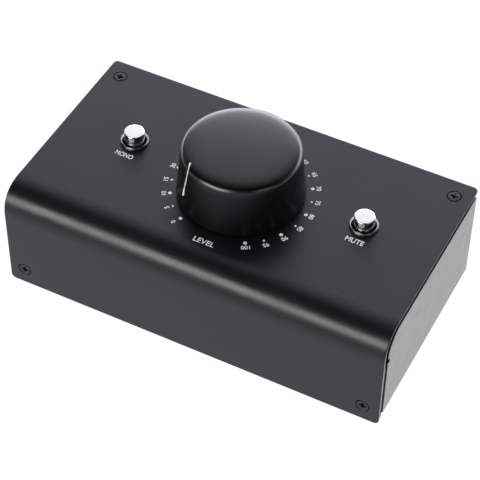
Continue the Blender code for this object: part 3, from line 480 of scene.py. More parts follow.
def ribbonPvc():
    # grey PVC of a flat ribbon cable, with a ridge over each of its wires, and painted shade darkening the
    # grooves between them
    material = newMaterial("grey ribbon cable", "a0a09c", 0.5)
    tree, where = surfaceOf(material)
    waveFactor = fullTurn / 20  # the node's bands repeat every full turn of 20 times its scale
    bands = {"wave_type": "BANDS", "bands_direction": "X", "Scale": perMetre(1.27) * waveFactor}
    wires = addNode(tree, "TexWave", bands, {"Vector": where})
    # painted shade: the colour is darker where the bands are low, between the wires
    vary(material, wires.outputs["Fac"], ("8c8c88", "a8a8a4"), relief=(0.2, 0.6))
    return material


coat = powderCoat()
edgeSteelAndHighlight = edgeSteelWithHighlight()
zinc = zincPlate()
anodised = blackAnodised()
mask = solderMask()
ribbon = ribbonPvc()

# After the name: colour, roughness, metallic, size of the noise in millimetres and its detail

# cut edge of plated sheet, dull, and dark as painted shade of the gap beside the cover
gapShadeEdge = mottled("cut steel edge with painted gap shade", "2c2c2c", 0.6, 0.5, 1.5, 2.0, colours=("222222", "343434"))

# bright chrome plate on plastic: a near mirror with slight waves
chrome = mottled(
    "bright chrome plate", "eef0f0", 0.12, 1.0, 2.5, 1.0, shine=(0.1, 0.15), relief=(0.004, 0.3)
)

# satin chrome on the pressed rings: softer than the caps, and greyer as painted shade for the dark
# surroundings they reflect
ringChromeShaded = mottled("satin chrome plate with painted shade", "8c8d8f", 0.3, 1.0, 0.6, 2.0, shine=(0.26, 0.34))

# screen printed white epoxy ink: flat and slightly thin in places
ink = mottled("white screen print", "f4f4f4", 0.6, 0.0, 0.4, 2.0, colours=("ececec", "fafafa"))

# screen printed black epoxy ink on the plated panel: flat, a little grey where it is thin
darkInk = mottled("black screen print", "1c1c1d", 0.6, 0.0, 0.4, 2.0, colours=("161617", "262627"))

# white enamel filled into the pointer's groove: smooth, with a soft shine that varies where it flowed
enamel = mottled("white enamel fill", "f2f2f0", 0.35, 0.0, 1.2, 1.0, shine=(0.3, 0.42))

# moulded black rubber: matt, finely rough
rubber = mottled(
    "black moulded rubber", "232323", 0.8, 0.0, 0.5, 3.0, colours=("1e1e1e", "282828"), relief=(0.03, 0.5)
)

# black oxide on steel screws: dark satin metal, a little brown where it is worn
oxide = mottled(
    "black oxide steel", "3c3c3e", 0.42, 0.8, 1.0, 3.0, colours=("363638", "444345"), shine=(0.36, 0.5)
)

# nickel plate on steel and die castings: warm grey metal with a soft shine
nickel = mottled(
    "nickel plate", "b5b1aa", 0.28, 1.0, 4, 2.0, colours=("b2aea8", "b8b5af"), shine=(0.29, 0.32)
)

# glass filled nylon: black, moulded, with a slight grain
nylon = mottled(
    "black glass filled nylon",
    "202021",
    0.5,
    0.0,
    0.35,
    3.0,
    colours=("1b1b1c", "272728"),
    shine=(0.44, 0.56),
    relief=(0.01, 0.4),
)

# hard gold plate on brass contacts: polished and a little uneven
gold = mottled("hard gold plate", "e3bd6a", 0.18, 1.0, 1.0, 2.0, shine=(0.14, 0.26))
print("Materials made")


# Cover: one steel sheet over the top and front, with a wide bend

coverLook = {
    "sheet": 1.5 * mm,
    "bendRun": 12.8 * mm,  # how far the bend takes up the top and the front
    "bendShape": 0.585,  # fuller than a round bend, as pressed over a wide die
    "bendSteps": 40,
    "cornerRadius": 1.8 * mm,
    "cornerSteps": 10,
    "edgeRounding": 0.4 * mm,
    "edgeSteps": 3,
    "bushingHole": 4.9 * mm,
    "buttonHole": 5.2 * mm,
    "past": 1.0 * mm,  # how far a tool reaches past what it cuts
}

screwLook = {
    "headRadius": 2.4 * mm,
    "headLand": 0.15 * mm,
    "shankRadius": 1.5 * mm,
    "length": 8.0 * mm,
    "sinkGap": 0.45 * mm,  # the countersink is that much wider than the head
    "crossArm": 1.6 * mm,
    "crossWidth": 1.2 * mm,
    "crossDepth": 2.0 * mm,
    "crossFloor": 0.5,  # share of the cross's size that is left at its floor
    "edge": 0.12 * mm,
    "drop": 0.1 * mm,  # head below the sheet's face
    "tip": 0.4 * mm,
    "sinkDepth": 3.0 * mm,
    "past": 1.0 * mm,
    "steps": 64,
}

coverLow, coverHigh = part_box("cover")
coverTop = coverHigh.z


def coverScrewSpots():
    # a place and a turn for each screw, by the end of its node's name
    spots = {}
    for name in ("front_left", "front_right", "rear_left", "rear_right"):
        middle = middleOf("cover_screw_" + name)
        if name.startswith("front"):
            spots[name] = ((middle.x, coverLow.y, middle.z), toFront)
        else:
            spots[name] = ((middle.x, middle.y, coverTop), None)
    return spots


def sinkScrews(obj, spots):
    # takes a countersink and its hole out of a sheet at each spot
    look = screwLook
    head = look["headRadius"] + look["sinkGap"]
    hole = look["shankRadius"] + look["sinkGap"]
    outline = [
        (0, -look["sinkDepth"]),
        (hole, -look["sinkDepth"]),
        (hole, hole - head - look["headLand"]),
        (head, -look["headLand"]),
        (head, look["past"]),
        (0, look["past"]),
    ]
    repeatTool(obj, turnedPiece("sinkTool", outline, look["steps"]), spots)


def makeCover():
    look = coverLook
    deselectAll()
    middle = (coverLow + coverHigh) / 2
    bpy.ops.mesh.primitive_plane_add(size=1, location=(middle.x, middle.y, coverTop))
    bpy.context.object.scale = (coverHigh.x - coverLow.x, coverHigh.y - coverLow.y, 1)
    cover = nameNew("coverSheet")
    selectEdges(cover, bothEnds(lambda p: close(p.y, coverLow.y)))
    drop = coverLow.z - coverTop
    bpy.ops.mesh.extrude_region_move(TRANSFORM_OT_translate={"value": (0, 0, drop)})
    atFold = bothEnds(lambda p: close(p.y, coverLow.y) and close(p.z, coverTop))
    bevelEdges(cover, atFold, look["bendRun"], look["bendSteps"], look["bendShape"])
    modify(cover, "SOLIDIFY", thickness=look["sheet"], offset=-1, use_even_offset=True)

    def atFreeCorner(a, b):
        # an edge through the sheet, at the foot of the front or the rear of the top
        atSide = close(abs(a.x), coverHigh.x) and close(a.x, b.x)
        atFoot = close(a.z, coverLow.z) and close(b.z, coverLow.z)
        atRear = close(a.y, coverHigh.y) and close(b.y, coverHigh.y)
        return atSide and (atFoot or atRear)

    bevelEdges(cover, atFreeCorner, look["cornerRadius"], look["cornerSteps"])
    roundEdges(cover, look["edgeRounding"], look["edgeSteps"], clamp=False)

    low, high = coverTop - look["sheet"] - look["past"], coverTop + look["past"]
    cut(cover, addRod("shaftHole", look["bushingHole"], low, high))
    for button in ("mono", "mute"):
        hole = addRod(button + "Hole", look["buttonHole"], low, high)
        middle = middleOf(button + "_button_cap")
        moveMesh(hole, (middle.x, middle.y, 0))
        cut(cover, hole)
    sinkScrews(cover, coverScrewSpots().values())
    smooth(cover, angle=30, flatFirst=True)
    finishPiece(cover, "case", "powder_coat", coat, "cover")
    atSideEdge = lambda centre, normal: abs(normal.x) > facing and close(abs(centre.x), coverHigh.x)
    # the side cut edges get bare steel with a painted highlight
    paintFaces(cover, edgeSteelAndHighlight, atSideEdge)


makeCover()
print("Cover made")


# Tray: the folded light grey sheet inside the cover

trayLook = {
    "sheet": 1.2 * mm,
    "setBack": 2.8 * mm,  # room that shows as a dark line between the cover and the side panels
    "bend": 8.4 * mm,  # radius of the side panels' rounded front corner
    "bendSteps": 24,
    "fold": 0.9 * mm,  # rounding along the side panels' lower edge
    "foldSteps": 5,
    "frontWall": 28.5 * mm,
    "wallDrop": 1.2 * mm,  # how far the front wall reaches below the floor
    "wallEnd": 0.1 * mm,
    "wallCorner": 1.5 * mm,
    "wallSteps": 6,
    "rearRecess": 2.4 * mm,  # the rear panel lies that far inside the side panels' ends
    "flange": 9.0 * mm,
    "flangeInset": 1.5 * mm,
    "flangeFront": 18.0 * mm,  # from the tray's front
    "lipBend": 11.6 * mm,  # how far the bend of the lip behind the gap takes up its top and front
    "notchHeight": 1.9 * mm,
    "notchDepth": 1.2 * mm,
    "socketHole": 12.1 * mm,
    "latchHole": (4.5 * mm, 14.9 * mm),  # half its width, and its top over the socket's middle
    "edgeRounding": 0.2 * mm,
    "gapShadeFacing": (0.3, 0.8),  # a gap-shaded edge's most sideways lean, and its least to the top and front
    "past": 1.0 * mm,
}


def makeTraySide(left, right):
    # one side panel between two places across, with its rounded front corner and its notch
    look = trayLook
    low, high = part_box("tray")
    front, top = low.y + look["setBack"], high.z - look["setBack"]
    side = addBox("traySide", (left, front, low.z), (right, high.y, top))
    atTopFront = bothEnds(lambda p: close(p.y, front) and close(p.z, top))
    bevelEdges(side, atTopFront, look["bend"], look["bendSteps"])
    outer = max(left, right, key=abs)
    atLowerEdge = bothEnds(lambda p: close(p.x, outer) and close(p.z, low.z))
    bevelEdges(side, atLowerEdge, look["fold"], look["foldSteps"])
    roundEdges(side, look["edgeRounding"], angle=50, clamp=False)
    past = look["past"]
    notch = low.z + look["frontWall"]
    notchEnd = (right + past, front + look["notchDepth"], notch + look["notchHeight"])
    cut(side, addBox("bendNotch", (left - past, front - past, notch), notchEnd))
    return side


def makeTrayLip(left, right):
    # a folded lip close under the cover, which closes the gap over a side panel from behind
    look = trayLook
    sheet = look["sheet"]
    low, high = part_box("tray")
    front, top = low.y + sheet / 2, high.z - look["edgeRounding"]
    back = high.y - look["rearRecess"] - sheet / 2
    lip = addBox("trayLip", (left, front, low.z + look["frontWall"] - sheet), (right, back, top))
    atTopFront = bothEnds(lambda p: close(p.y, front) and close(p.z, top))
    bevelEdges(lip, atTopFront, look["lipBend"], look["bendSteps"], coverLook["bendShape"])
    return lip


def makeTray():
    look = trayLook
    past, sheet = look["past"], look["sheet"]
    low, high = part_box("tray")
    inside = high.x - sheet
    panelFace = high.y - look["rearRecess"]
    panelBack = panelFace - sheet

    tray = addBox("traySheet", (-inside, panelBack, low.z), (inside, panelFace, high.z))
    for socket in ("left_input_socket", "right_input_socket", "left_output_shell", "right_output_shell"):
        middle = middleOf(socket)
        hole = addRod("socketHole", look["socketHole"], -past, sheet + past)
        moveMesh(hole, (middle.x, panelFace, middle.z), toFront)
        cut(tray, hole)
        if "input" in socket:
            half, rise = look["latchHole"]
            holeLow = (middle.x - half, panelBack - past, middle.z)
            holeHigh = (middle.x + half, panelFace + past, middle.z + rise)
            cut(tray, addBox("latchHole", holeLow, holeHigh))
    floorLow = (-inside, low.y + sheet / 2, low.z)
    fuse(tray, addBox("trayFloor", floorLow, (inside, panelFace - sheet / 2, low.z + sheet)))
    for edge in (look["flangeInset"] - inside, inside - look["flangeInset"] - look["flange"]):
        flangeLow = (edge, low.y + look["flangeFront"], high.z - sheet)
        flangeHigh = (edge + look["flange"], panelBack + sheet / 2, high.z)
        fuse(tray, addBox("trayFlange", flangeLow, flangeHigh))
    lipFace = inside - look["flangeInset"]
    fuse(tray, makeTrayLip(lipFace - sheet, lipFace))
    fuse(tray, makeTrayLip(-lipFace, sheet - lipFace))
    fuse(tray, makeTraySide(inside, high.x))
    fuse(tray, makeTraySide(low.x, -inside))

    end = high.x - look["wallEnd"]
    wallTop = low.z + look["frontWall"]
    wall = addBox("trayFrontWall", (-end, low.y, low.z - look["wallDrop"]), (end, low.y + sheet, wallTop))
    alongDepth = lambda a, b: close(a.x, b.x) and close(a.z, b.z)
    bevelEdges(wall, alongDepth, look["wallCorner"], look["wallSteps"])
    fuse(tray, wall)
    smooth(tray, angle=30, flatFirst=True)
    finishPiece(tray, "case", "zinc_plate", zinc, "tray")

    sideways, forwards = look["gapShadeFacing"]
    wallBack = low.y + sheet + look["edgeRounding"]

    def isShadedGapEdge(centre, normal):
        # the cut edges that stand in the gap beside the cover, which get painted shade
        inGap = abs(normal.x) < sideways and normal.z - normal.y > forwards
        return abs(centre.x) > inside and (inGap or centre.y < wallBack)

    # painted shade: a dark finish on the edges in the gap
    paintFaces(tray, gapShadeEdge, isShadedGapEdge)


makeTray()
print("Tray made")


# Countersunk cross-head screws, one model copied to every place


def makeScrewModel():
    look = screwLook
    cone = look["headLand"] + look["headRadius"] - look["shankRadius"]
    tip = look["tip"]
    outline = [
        (0, -look["length"]),
        (look["shankRadius"] - tip, -look["length"]),
        (look["shankRadius"], tip - look["length"]),
        (look["shankRadius"], -cone),
        (look["headRadius"], -look["headLand"]),
        (look["headRadius"], 0),
        (0, 0),
    ]
    screw = turnedPiece("screwModel", outline, look["steps"])
    arm, width = look["crossArm"], look["crossWidth"] / 2
    for turn in (0, quarterTurn):
        bar = addBox("crossBar", (-arm, -width, -look["crossDepth"]), (arm, width, look["past"]))
        selectFaces(bar, lambda centre, normal: normal.z < -facing)
        bpy.ops.transform.resize(value=(look["crossFloor"], look["crossFloor"], 1))
        objectMode()
        moveMesh(bar, turn=(0, 0, turn))
        cut(screw, bar)
    roundEdges(screw, look["edge"], angle=35)
    smooth(screw, angle=30)
    moveMesh(screw, (0, 0, -look["drop"]))
    return screw


def makeScrews():
    model = makeScrewModel()
    for name, (place, turn) in coverScrewSpots().items():
        screw = copyPiece(model, "coverScrew_" + name, place, turn)
        finishPiece(screw, "case", "black_screw", oxide, "cover_screw_" + name)
    for socket in ("left_input", "right_input", "left_output", "right_output"):
        for end in ("upper", "lower"):
            node = f"{socket}_screw_{end}"
            middle = middleOf(node)
            place = (middle.x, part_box(node)[1].y, middle.z)
            screw = copyPiece(model, f"plateScrew_{socket}_{end}", place, toRear)
            finishPiece(screw, "case", "black_screw", oxide, node)
    discard(model)


makeScrews()
print("Screws made")


# Rubber feet

footLook = {
    "edge": 0.8 * mm,
    "edgeSteps": 6,
    "dimple": 2.6 * mm,
    "dimpleDepth": 0.7 * mm,
    "steps": 64,
}


def makeFeet():
    look = footLook
    for name in ("front_left", "front_right", "rear_left", "rear_right"):
        low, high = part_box("foot_" + name)
        radius = (high.x - low.x) / 2
        edge = look["edge"]
        outline = [(0, look["dimpleDepth"])]
        outline += [(look["dimple"] - look["dimpleDepth"], look["dimpleDepth"]), (look["dimple"], 0)]
        outline += arcPoints((radius - edge, edge), edge, -90, 0, look["edgeSteps"])
        outline += [(radius, high.z), (0, high.z)]
        foot = turnedPiece("rubberFoot_" + name, outline, look["steps"])
        moveMesh(foot, ((low.x + high.x) / 2, (low.y + high.y) / 2, 0))
        smooth(foot)
        finishPiece(foot, "case", "rubber", rubber, "foot_" + name)


makeFeet()
print("Feet made")


# Level knob, turned from one bar, with its pointer line

knobLook = {
    "baseRadius": 24.0 * mm,
    "taper": 1.9 * mm,
    "sideLean": 2,  # degrees, where the side runs into the rounding over it
    "edge": 2.5 * mm,
    "edgeSteps": 14,
    "dome": 1.4 * mm,
    "crown": (1.4 * mm, 0.4 * mm),  # the even dome, and the roll-off towards the rim
    "rollOff": 12,  # power of the roll-off
    "crownSteps": 32,
    "recessRadius": 10.5 * mm,
    "recessDepth": 5.8 * mm,
    "boreRadius": 3.3 * mm,
    "boreDepth": 10.0 * mm,
    "footEdge": 0.4 * mm,
    "footSteps": 4,
    "steps": 192,
    "pointerAngle": math.radians(-127.5),
    "pointerWidth": 0.75 * mm,
    "pointerStart": 7.1 * mm,
    "pointerSink": 0.3 * mm,  # how deep the line's foot sits in the knob
    "pointerProud": 0.35 * mm,
    "stepDepth": 1.75 * mm,  # of the notch beside the line, at the top
    "stepWidth": 3.4 * mm,  # where the notch's floor runs out again
    "grubRadius": 1.8 * mm,
    "grubHeight": 9.8 * mm,
    "grubSteps": 48,
    "cutEdge": 0.12 * mm,
    "pointerEdge": 0.08 * mm,
    "past": 1.0 * mm,
}


def knobRise():
    # height of the knob's shoulder over its underside
    low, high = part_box("level_knob")
    return high.z - low.z - knobLook["dome"]


def knobSide(height):
    # radius of the tapered side at a height over the knob's underside
    return knobLook["baseRadius"] - knobLook["taper"] * height / knobRise()


def stepFoot(height):
    # radius at the foot of the step beside the pointer line
    look = knobLook
    share = (height - look["pointerStart"]) / (knobRise() - look["pointerStart"])
    return knobSide(height) - look["stepDepth"] * share


def turnKnob():
    # the knob as it comes off the lathe
    look = knobLook
    low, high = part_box("level_knob")
    base = low.z
    dome, roll = look["crown"]
    power = look["rollOff"]
    edge, foot = look["edge"], look["footEdge"]
    shoulder = high.z - dome - roll
    rim = knobSide(shoulder - base - edge) - edge
    tilt = math.degrees(math.atan((2 * dome + power * roll) / rim))
    recessTop = base + look["recessDepth"]
    boreTop = recessTop + look["boreDepth"]
    outline = [(0, boreTop), (look["boreRadius"], boreTop), (look["boreRadius"], recessTop)]
    outline += [(look["recessRadius"], recessTop), (look["recessRadius"], base)]
    outline += arcPoints((look["baseRadius"] - foot, base + foot), foot, -90, 0, look["footSteps"])
    outline += arcPoints((rim, shoulder - edge), edge, look["sideLean"], 90 - tilt, look["edgeSteps"])
    rim, shoulder = outline[-1]
    lift = (high.z - shoulder) / (dome + roll)
    rise = lambda share: lift * (dome * (1 - share**2) + roll * (1 - share**power))
    outline += domePoints(rim, shoulder, rise, look["crownSteps"])
    return turnedPiece("levelKnob", outline, look["steps"])


def makeNotch(base):
    # what is taken off the knob's side beside the pointer line: deepest at the line and at the top
    look = knobLook
    past, start, width, reach = look["past"], look["pointerStart"], look["stepWidth"], look["baseRadius"]
    rise = knobRise()
    notch = addBox("pointerNotch", (knobSide(start), 0, base + start), (reach + past, width, base + rise))
    atTop = lambda p: p.z > base + start + past and p.x < reach
    selectVertices(notch, lambda p: atTop(p) and p.y < past)
    bpy.ops.transform.translate(value=(stepFoot(rise) - knobSide(start), 0, 0))
    selectVertices(notch, lambda p: p.x < reach and p.y > past)
    bpy.ops.transform.translate(value=(-(width**2) / 2 / reach, 0, 0))
    selectVertices(notch, lambda p: atTop(p) and p.y > past)
    bpy.ops.transform.translate(value=(knobSide(rise) - knobSide(start), 0, 0))
    # its floor is twisted, so it is split, or else each run could fill it another way
    selectFaces(notch, lambda centre, normal: normal.x < -facing)
    bpy.ops.mesh.quads_convert_to_tris(quad_method="SHORTEST_DIAGONAL")
    selectFaces(notch, lambda centre, normal: normal.z > facing)
    bpy.ops.mesh.extrude_region_move(TRANSFORM_OT_translate={"value": (0, 0, look["dome"] + past)})
    objectMode()
    moveMesh(notch, turn=(0, 0, look["pointerAngle"]))
    return notch


def makeKnob():
    look = knobLook
    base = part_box("level_knob")[0].z
    knob = turnKnob()
    cut(knob, makeNotch(base))
    hole = addRod("grubHole", look["grubRadius"], 0, look["baseRadius"] + look["past"], look["grubSteps"])
    turn = (0, quarterTurn, look["pointerAngle"] + halfTurn)
    moveMesh(hole, (0, 0, base + look["grubHeight"]), turn)
    cut(knob, hole)
    roundEdges(knob, look["cutEdge"])
    smooth(knob, angle=30)
    finishPiece(knob, "volume_control", "black_anodised", anodised, "level_knob")


def makePointer():
    look = knobLook
    base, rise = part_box("level_knob")[0].z, knobRise()
    start, width = look["pointerStart"], look["pointerWidth"]
    foot = stepFoot(start)
    low = (foot - look["pointerSink"], 0, base + start)
    pointer = addBox("pointerLine", low, (foot + look["pointerProud"], width, base + rise))
    selectFaces(pointer, lambda centre, normal: normal.z > facing)
    bpy.ops.transform.translate(value=(stepFoot(rise) - foot, 0, 0))
    selectVertices(pointer, lambda p: p.z > base + rise / 2 and p.y > 0)
    floorSlope = look["stepDepth"] / look["stepWidth"]
    bpy.ops.transform.translate(value=(floorSlope * width, 0, 0))
    objectMode()
    moveMesh(pointer, turn=(0, 0, look["pointerAngle"]))
    roundEdges(pointer, look["pointerEdge"])
    smooth(pointer)
    finishPiece(pointer, "volume_control", "white_paint", enamel, "knob_pointer")


makeKnob()
makePointer()
print("Knob made")


# Chrome push buttons and their rings

buttonLook = {
    "capEdge": 0.35 * mm,
    "capEdgeSteps": 8,
    "capDome": 0.07 * mm,
    "capDomeSteps": 6,
    "capBore": 2.0 * mm,
    "boreDepth": 5.0 * mm,
    "sleeveWall": 0.6 * mm,
    "ringGap": 0.45 * mm,
    "ringFoot": 0.12 * mm,
    "crestInset": 0.42 * mm,  # from the ring's outer edge to its crest
    "crestRounding": 0.28 * mm,
    "crestArc": (20, 135),  # degrees, from the outer flank to the inner one
    "crestSteps": 10,
}


def makeCap(side):
    look = buttonLook
    low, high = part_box(side + "_button_cap")
    radius = (high.x - low.x) / 2
    edge, dome, bore = look["capEdge"], look["capDome"], look["capBore"]
    shoulder = high.z - dome
    outline = [(0, low.z + look["boreDepth"]), (bore, low.z + look["boreDepth"])]
    outline += [(bore, low.z), (radius, low.z)]
    outline += arcPoints((radius - edge, shoulder - edge), edge, 0, 90, look["capEdgeSteps"])
    rise = lambda share: dome * (1 - share**2)
    outline += domePoints(radius - edge, shoulder, rise, look["capDomeSteps"])
    cap = turnedPiece(side + "ButtonCap", outline)
    middle = (low + high) / 2
    moveMesh(cap, (middle.x, middle.y, 0))
    smooth(cap)
    finishPiece(cap, side + "_button", "chrome", chrome, side + "_button_cap")


def makeRing(side):
    look = buttonLook
    capLow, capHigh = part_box(side + "_button_cap")
    low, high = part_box(side + "_button_bezel")
    outer = (high.x - low.x) / 2
    bore = (capHigh.x - capLow.x) / 2 + look["ringGap"]
    sleeve = bore + look["sleeveWall"]
    seat = coverTop + look["ringFoot"]
    flank = seat + look["ringFoot"]
    rounding = look["crestRounding"]
    crest = (outer - look["crestInset"], high.z - rounding)
    outline = [(bore, low.z), (sleeve, low.z), (sleeve, seat), (outer, seat), (outer, flank)]
    outline += arcPoints(crest, rounding, *look["crestArc"], look["crestSteps"])
    outline.append((bore, flank))
    ring = turnedPiece(side + "ButtonRing", outline, closedRing=True)
    middle = (capLow + capHigh) / 2
    moveMesh(ring, (middle.x, middle.y, 0))
    smooth(ring)
    finishPiece(ring, "case", "chrome", ringChromeShaded, side + "_button_bezel")


for side in ("mono", "mute"):
    makeCap(side)
    makeRing(side)
print("Buttons made")


# Sockets on the rear panel: two combined inputs and two output plugs

# Each is made standing on its plate's foot, its mouth up, and then turned to face the rear.
# Its heights are over the panel's outer face.
socketLook = {
    "plateWide": 26.0 * mm,
    "plateHigh": 31.0 * mm,
    "plateSheet": 1.8 * mm,
    "plateFoot": 0.3 * mm,
    "plateCorner": 2.5 * mm,
    "plateSteps": 8,
    "barrelRadius": 11.8 * mm,
    "barrelEnd": -21.0 * mm,
    "lip": 0.2 * mm,
    "wellRadius": 9.6 * mm,
    "wellDepth": 13.0 * mm,
    "mouth": 0.45 * mm,
    "mouthSteps": 5,
    "insertRadius": 8.0 * mm,
    "insertRecess": 1.0 * mm,
    "jackRadius": 3.3 * mm,
    "jackFloor": -17.9 * mm,
    "jackMouth": 0.55 * mm,
    "bushingWall": 0.35 * mm,
    "bushingLength": 3.0 * mm,
    "bushingSteps": 64,
    "contactRing": 5.4 * mm,
    "contactHole": 1.4 * mm,
    "contactMouth": 0.25 * mm,
    "contactWall": 0.4 * mm,
    "contactSink": 1.2 * mm,
    "contactLength": 5.0 * mm,
    "contactSteps": 32,
    "keyWidth": 1.6 * mm,
    "keyDepth": 1.1 * mm,
    "keyLength": 9.0 * mm,
    "latchWide": 6.0 * mm,
    "latchHigh": 2.8 * mm,
    "latchRise": 10.5 * mm,  # its lower side over the middle
    "latchLength": 7.1 * mm,
    "latchProud": 0.4 * mm,
    "latchTravel": 1.8 * mm,
    "latchGap": 0.3 * mm,
    "grip": 0.35 * mm,  # width and depth of the grooves in the latch
    "gripPlaces": (0.25, 0.5, 0.75),  # shares of the latch's height
    "shellEnd": -14.0 * mm,
    "shellFloor": 1.7 * mm,
    "shellHole": 7.5 * mm,
    "insertSheet": 3.5 * mm,
    "insertGap": 0.3 * mm,
    "collar": 0.7 * mm,
    "pinRadius": 1.2 * mm,
    "pinRing": 4.6 * mm,
    "pinTip": 0.5 * mm,
    "pinTail": -23.9 * mm,
    "pinNose": 0.95 * mm,
    "noseSteps": 6,
    "pinSteps": 40,
    "screwInset": 3.5 * mm,
    "housingWall": 0.9 * mm,
    "edge": 0.16 * mm,
    "past": 1.0 * mm,
}
plateFace = socketLook["plateFoot"] + socketLook["plateSheet"]
contactAngles = (30, 150, 270)  # degrees, the last one straight down


def socketPlace(node):
    # where the socket's middle meets the rear panel's outer face
    low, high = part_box(node)
    return ((low.x + high.x) / 2, high.y - plateFace - socketLook["lip"], (low.z + high.z) / 2)


def contactSpots(radius):
    for degrees in contactAngles:
        angle = math.radians(degrees)
        yield (radius * math.cos(angle), radius * math.sin(angle), 0), None


def addPlate(name):
    look = socketLook
    wide, high = look["plateWide"] / 2, look["plateHigh"] / 2
    plate = addBox(name, (-wide, -high, look["plateFoot"]), (wide, high, plateFace))
    upright = lambda a, b: close(a.x, b.x) and close(a.y, b.y)
    bevelEdges(plate, upright, look["plateCorner"], look["plateSteps"])
    middle = (look["wellRadius"] + look["barrelRadius"]) / 2
    cut(plate, addRod("plateHole", middle, -look["past"], plateFace + look["past"], roundSteps))
    return plate


def sinkPlateScrews(obj):
    # the two screws sit in opposite corners of the plate
    look = socketLook
    x, y = look["plateWide"] / 2 - look["screwInset"], look["plateHigh"] / 2 - look["screwInset"]
    sinkScrews(obj, [((-x, y, plateFace), None), ((x, -y, plateFace), None)])


def mouthOutline():
    # from the well's wall over the lip to the barrel's outside
    look = socketLook
    top = plateFace + look["lip"]
    return [
        (look["wellRadius"], top - look["mouth"]),
        (look["wellRadius"] + look["mouth"], top),
        (look["barrelRadius"] - look["mouth"], top),
        (look["barrelRadius"], plateFace - look["lip"] / 2),
    ]


def breakEdges(obj):
    roundEdges(obj, socketLook["edge"])
    smooth(obj, flatFirst=True)


def mountAtRear(obj, place, body, slot, material, *nodes):
    moveMesh(obj, place, toRear)
    finishPiece(obj, body, slot, material, *nodes)


def makeInput(side):
    look = socketLook
    node = side + "_input_socket"
    place = socketPlace(node)
    face = plateFace - look["insertRecess"]
    floor = plateFace - look["wellDepth"]
    mouth = look["mouth"]
    jack, jackMouth = look["jackRadius"], look["jackMouth"]
    outline = [(0, look["jackFloor"]), (jack, look["jackFloor"])]
    outline += [(jack, face - jackMouth), (jack + jackMouth, face)]
    outline += arcPoints((look["insertRadius"] - mouth, face - mouth), mouth, 90, 0, look["mouthSteps"])
    outline += [(look["insertRadius"], floor), (look["wellRadius"], floor)]
    outline += mouthOutline()
    outline += [(look["barrelRadius"], look["barrelEnd"]), (0, look["barrelEnd"])]
    socket = turnedPiece(side + "InputSocket", outline)
    fuse(socket, addPlate("inputPlate"))

    gap, wall = look["latchGap"], look["housingWall"]
    half = look["latchWide"] / 2 + gap
    low = look["latchRise"] - gap
    high = look["latchRise"] + look["latchHigh"] + gap
    latchBack = plateFace + look["latchProud"] - look["latchLength"]
    pocketFloor = latchBack - look["latchTravel"] - gap
    housingLow = (-half - wall, look["wellRadius"] + wall / 2, pocketFloor - wall)
    fuse(socket, addBox("latchHousing", housingLow, (half + wall, high + wall, plateFace - gap)))
    cut(socket, addBox("latchPocket", (-half, low, pocketFloor), (half, high, plateFace + look["past"])))
    hole = look["contactHole"]
    funnel = hole + look["contactMouth"]
    outline = [(0, floor), (hole, floor), (hole, face - look["contactMouth"]), (funnel, face)]
    outline += [(funnel, face + look["past"]), (0, face + look["past"])]
    drill = turnedPiece("contactDrill", outline, look["contactSteps"])
    repeatTool(socket, drill, contactSpots(look["contactRing"]))
    key = look["insertRadius"] - look["keyDepth"]
    keyHalf = look["keyWidth"] / 2
    slotHigh = (look["insertRadius"] + keyHalf, keyHalf, face + mouth)
    cut(socket, addBox("keySlot", (key, -keyHalf, face - look["keyLength"]), slotHigh))
    sinkPlateScrews(socket)
    breakEdges(socket)
    mountAtRear(socket, place, "case", "black_plastic", nylon, node)

    wall = look["bushingWall"]
    inner, top = jack - wall, face - jackMouth
    low = top - look["bushingLength"]
    outline = [(inner, low), (jack, low), (jack, top), (inner + wall / 2, top), (inner, top - wall / 2)]
    bushing = turnedPiece(side + "InputBushing", outline, look["bushingSteps"], closedRing=True)
    smooth(bushing)
    mountAtRear(bushing, place, "case", "bright_steel", nickel)

    inner, top = hole - look["contactWall"], face - look["contactSink"]
    low = top - look["contactLength"]
    outline = [(inner, low), (hole, low), (hole, top)]
    outline += [(inner + look["contactMouth"], top), (inner, top - look["contactMouth"])]
    tube = turnedPiece("contactTube", outline, look["contactSteps"], closedRing=True)
    spots = enumerate(contactSpots(look["contactRing"]))
    contacts = joinAll(
        side + "InputContacts", [copyPiece(tube, f"contactTube_{number}", *spot) for number, spot in spots]
    )
    discard(tube)
    smooth(contacts)
    mountAtRear(contacts, place, "case", "gold_plate", gold)


def makeLatch(side):
    look = socketLook
    top, half, grip = plateFace + look["latchProud"], look["latchWide"] / 2, look["grip"]
    low, high = look["latchRise"], look["latchRise"] + look["latchHigh"]
    latch = addBox(side + "InputLatch", (-half, low, top - look["latchLength"]), (half, high, top))
    for share in look["gripPlaces"]:
        middle = low + (high - low) * share
        grooveHigh = (half - grip, middle + grip / 2, top + grip)
        cut(latch, addBox("gripGroove", (-half + grip, middle - grip / 2, top - grip), grooveHigh))
    breakEdges(latch)
    place = socketPlace(side + "_input_socket")
    mountAtRear(latch, place, side + "_latch", "bright_steel", nickel, side + "_input_latch")


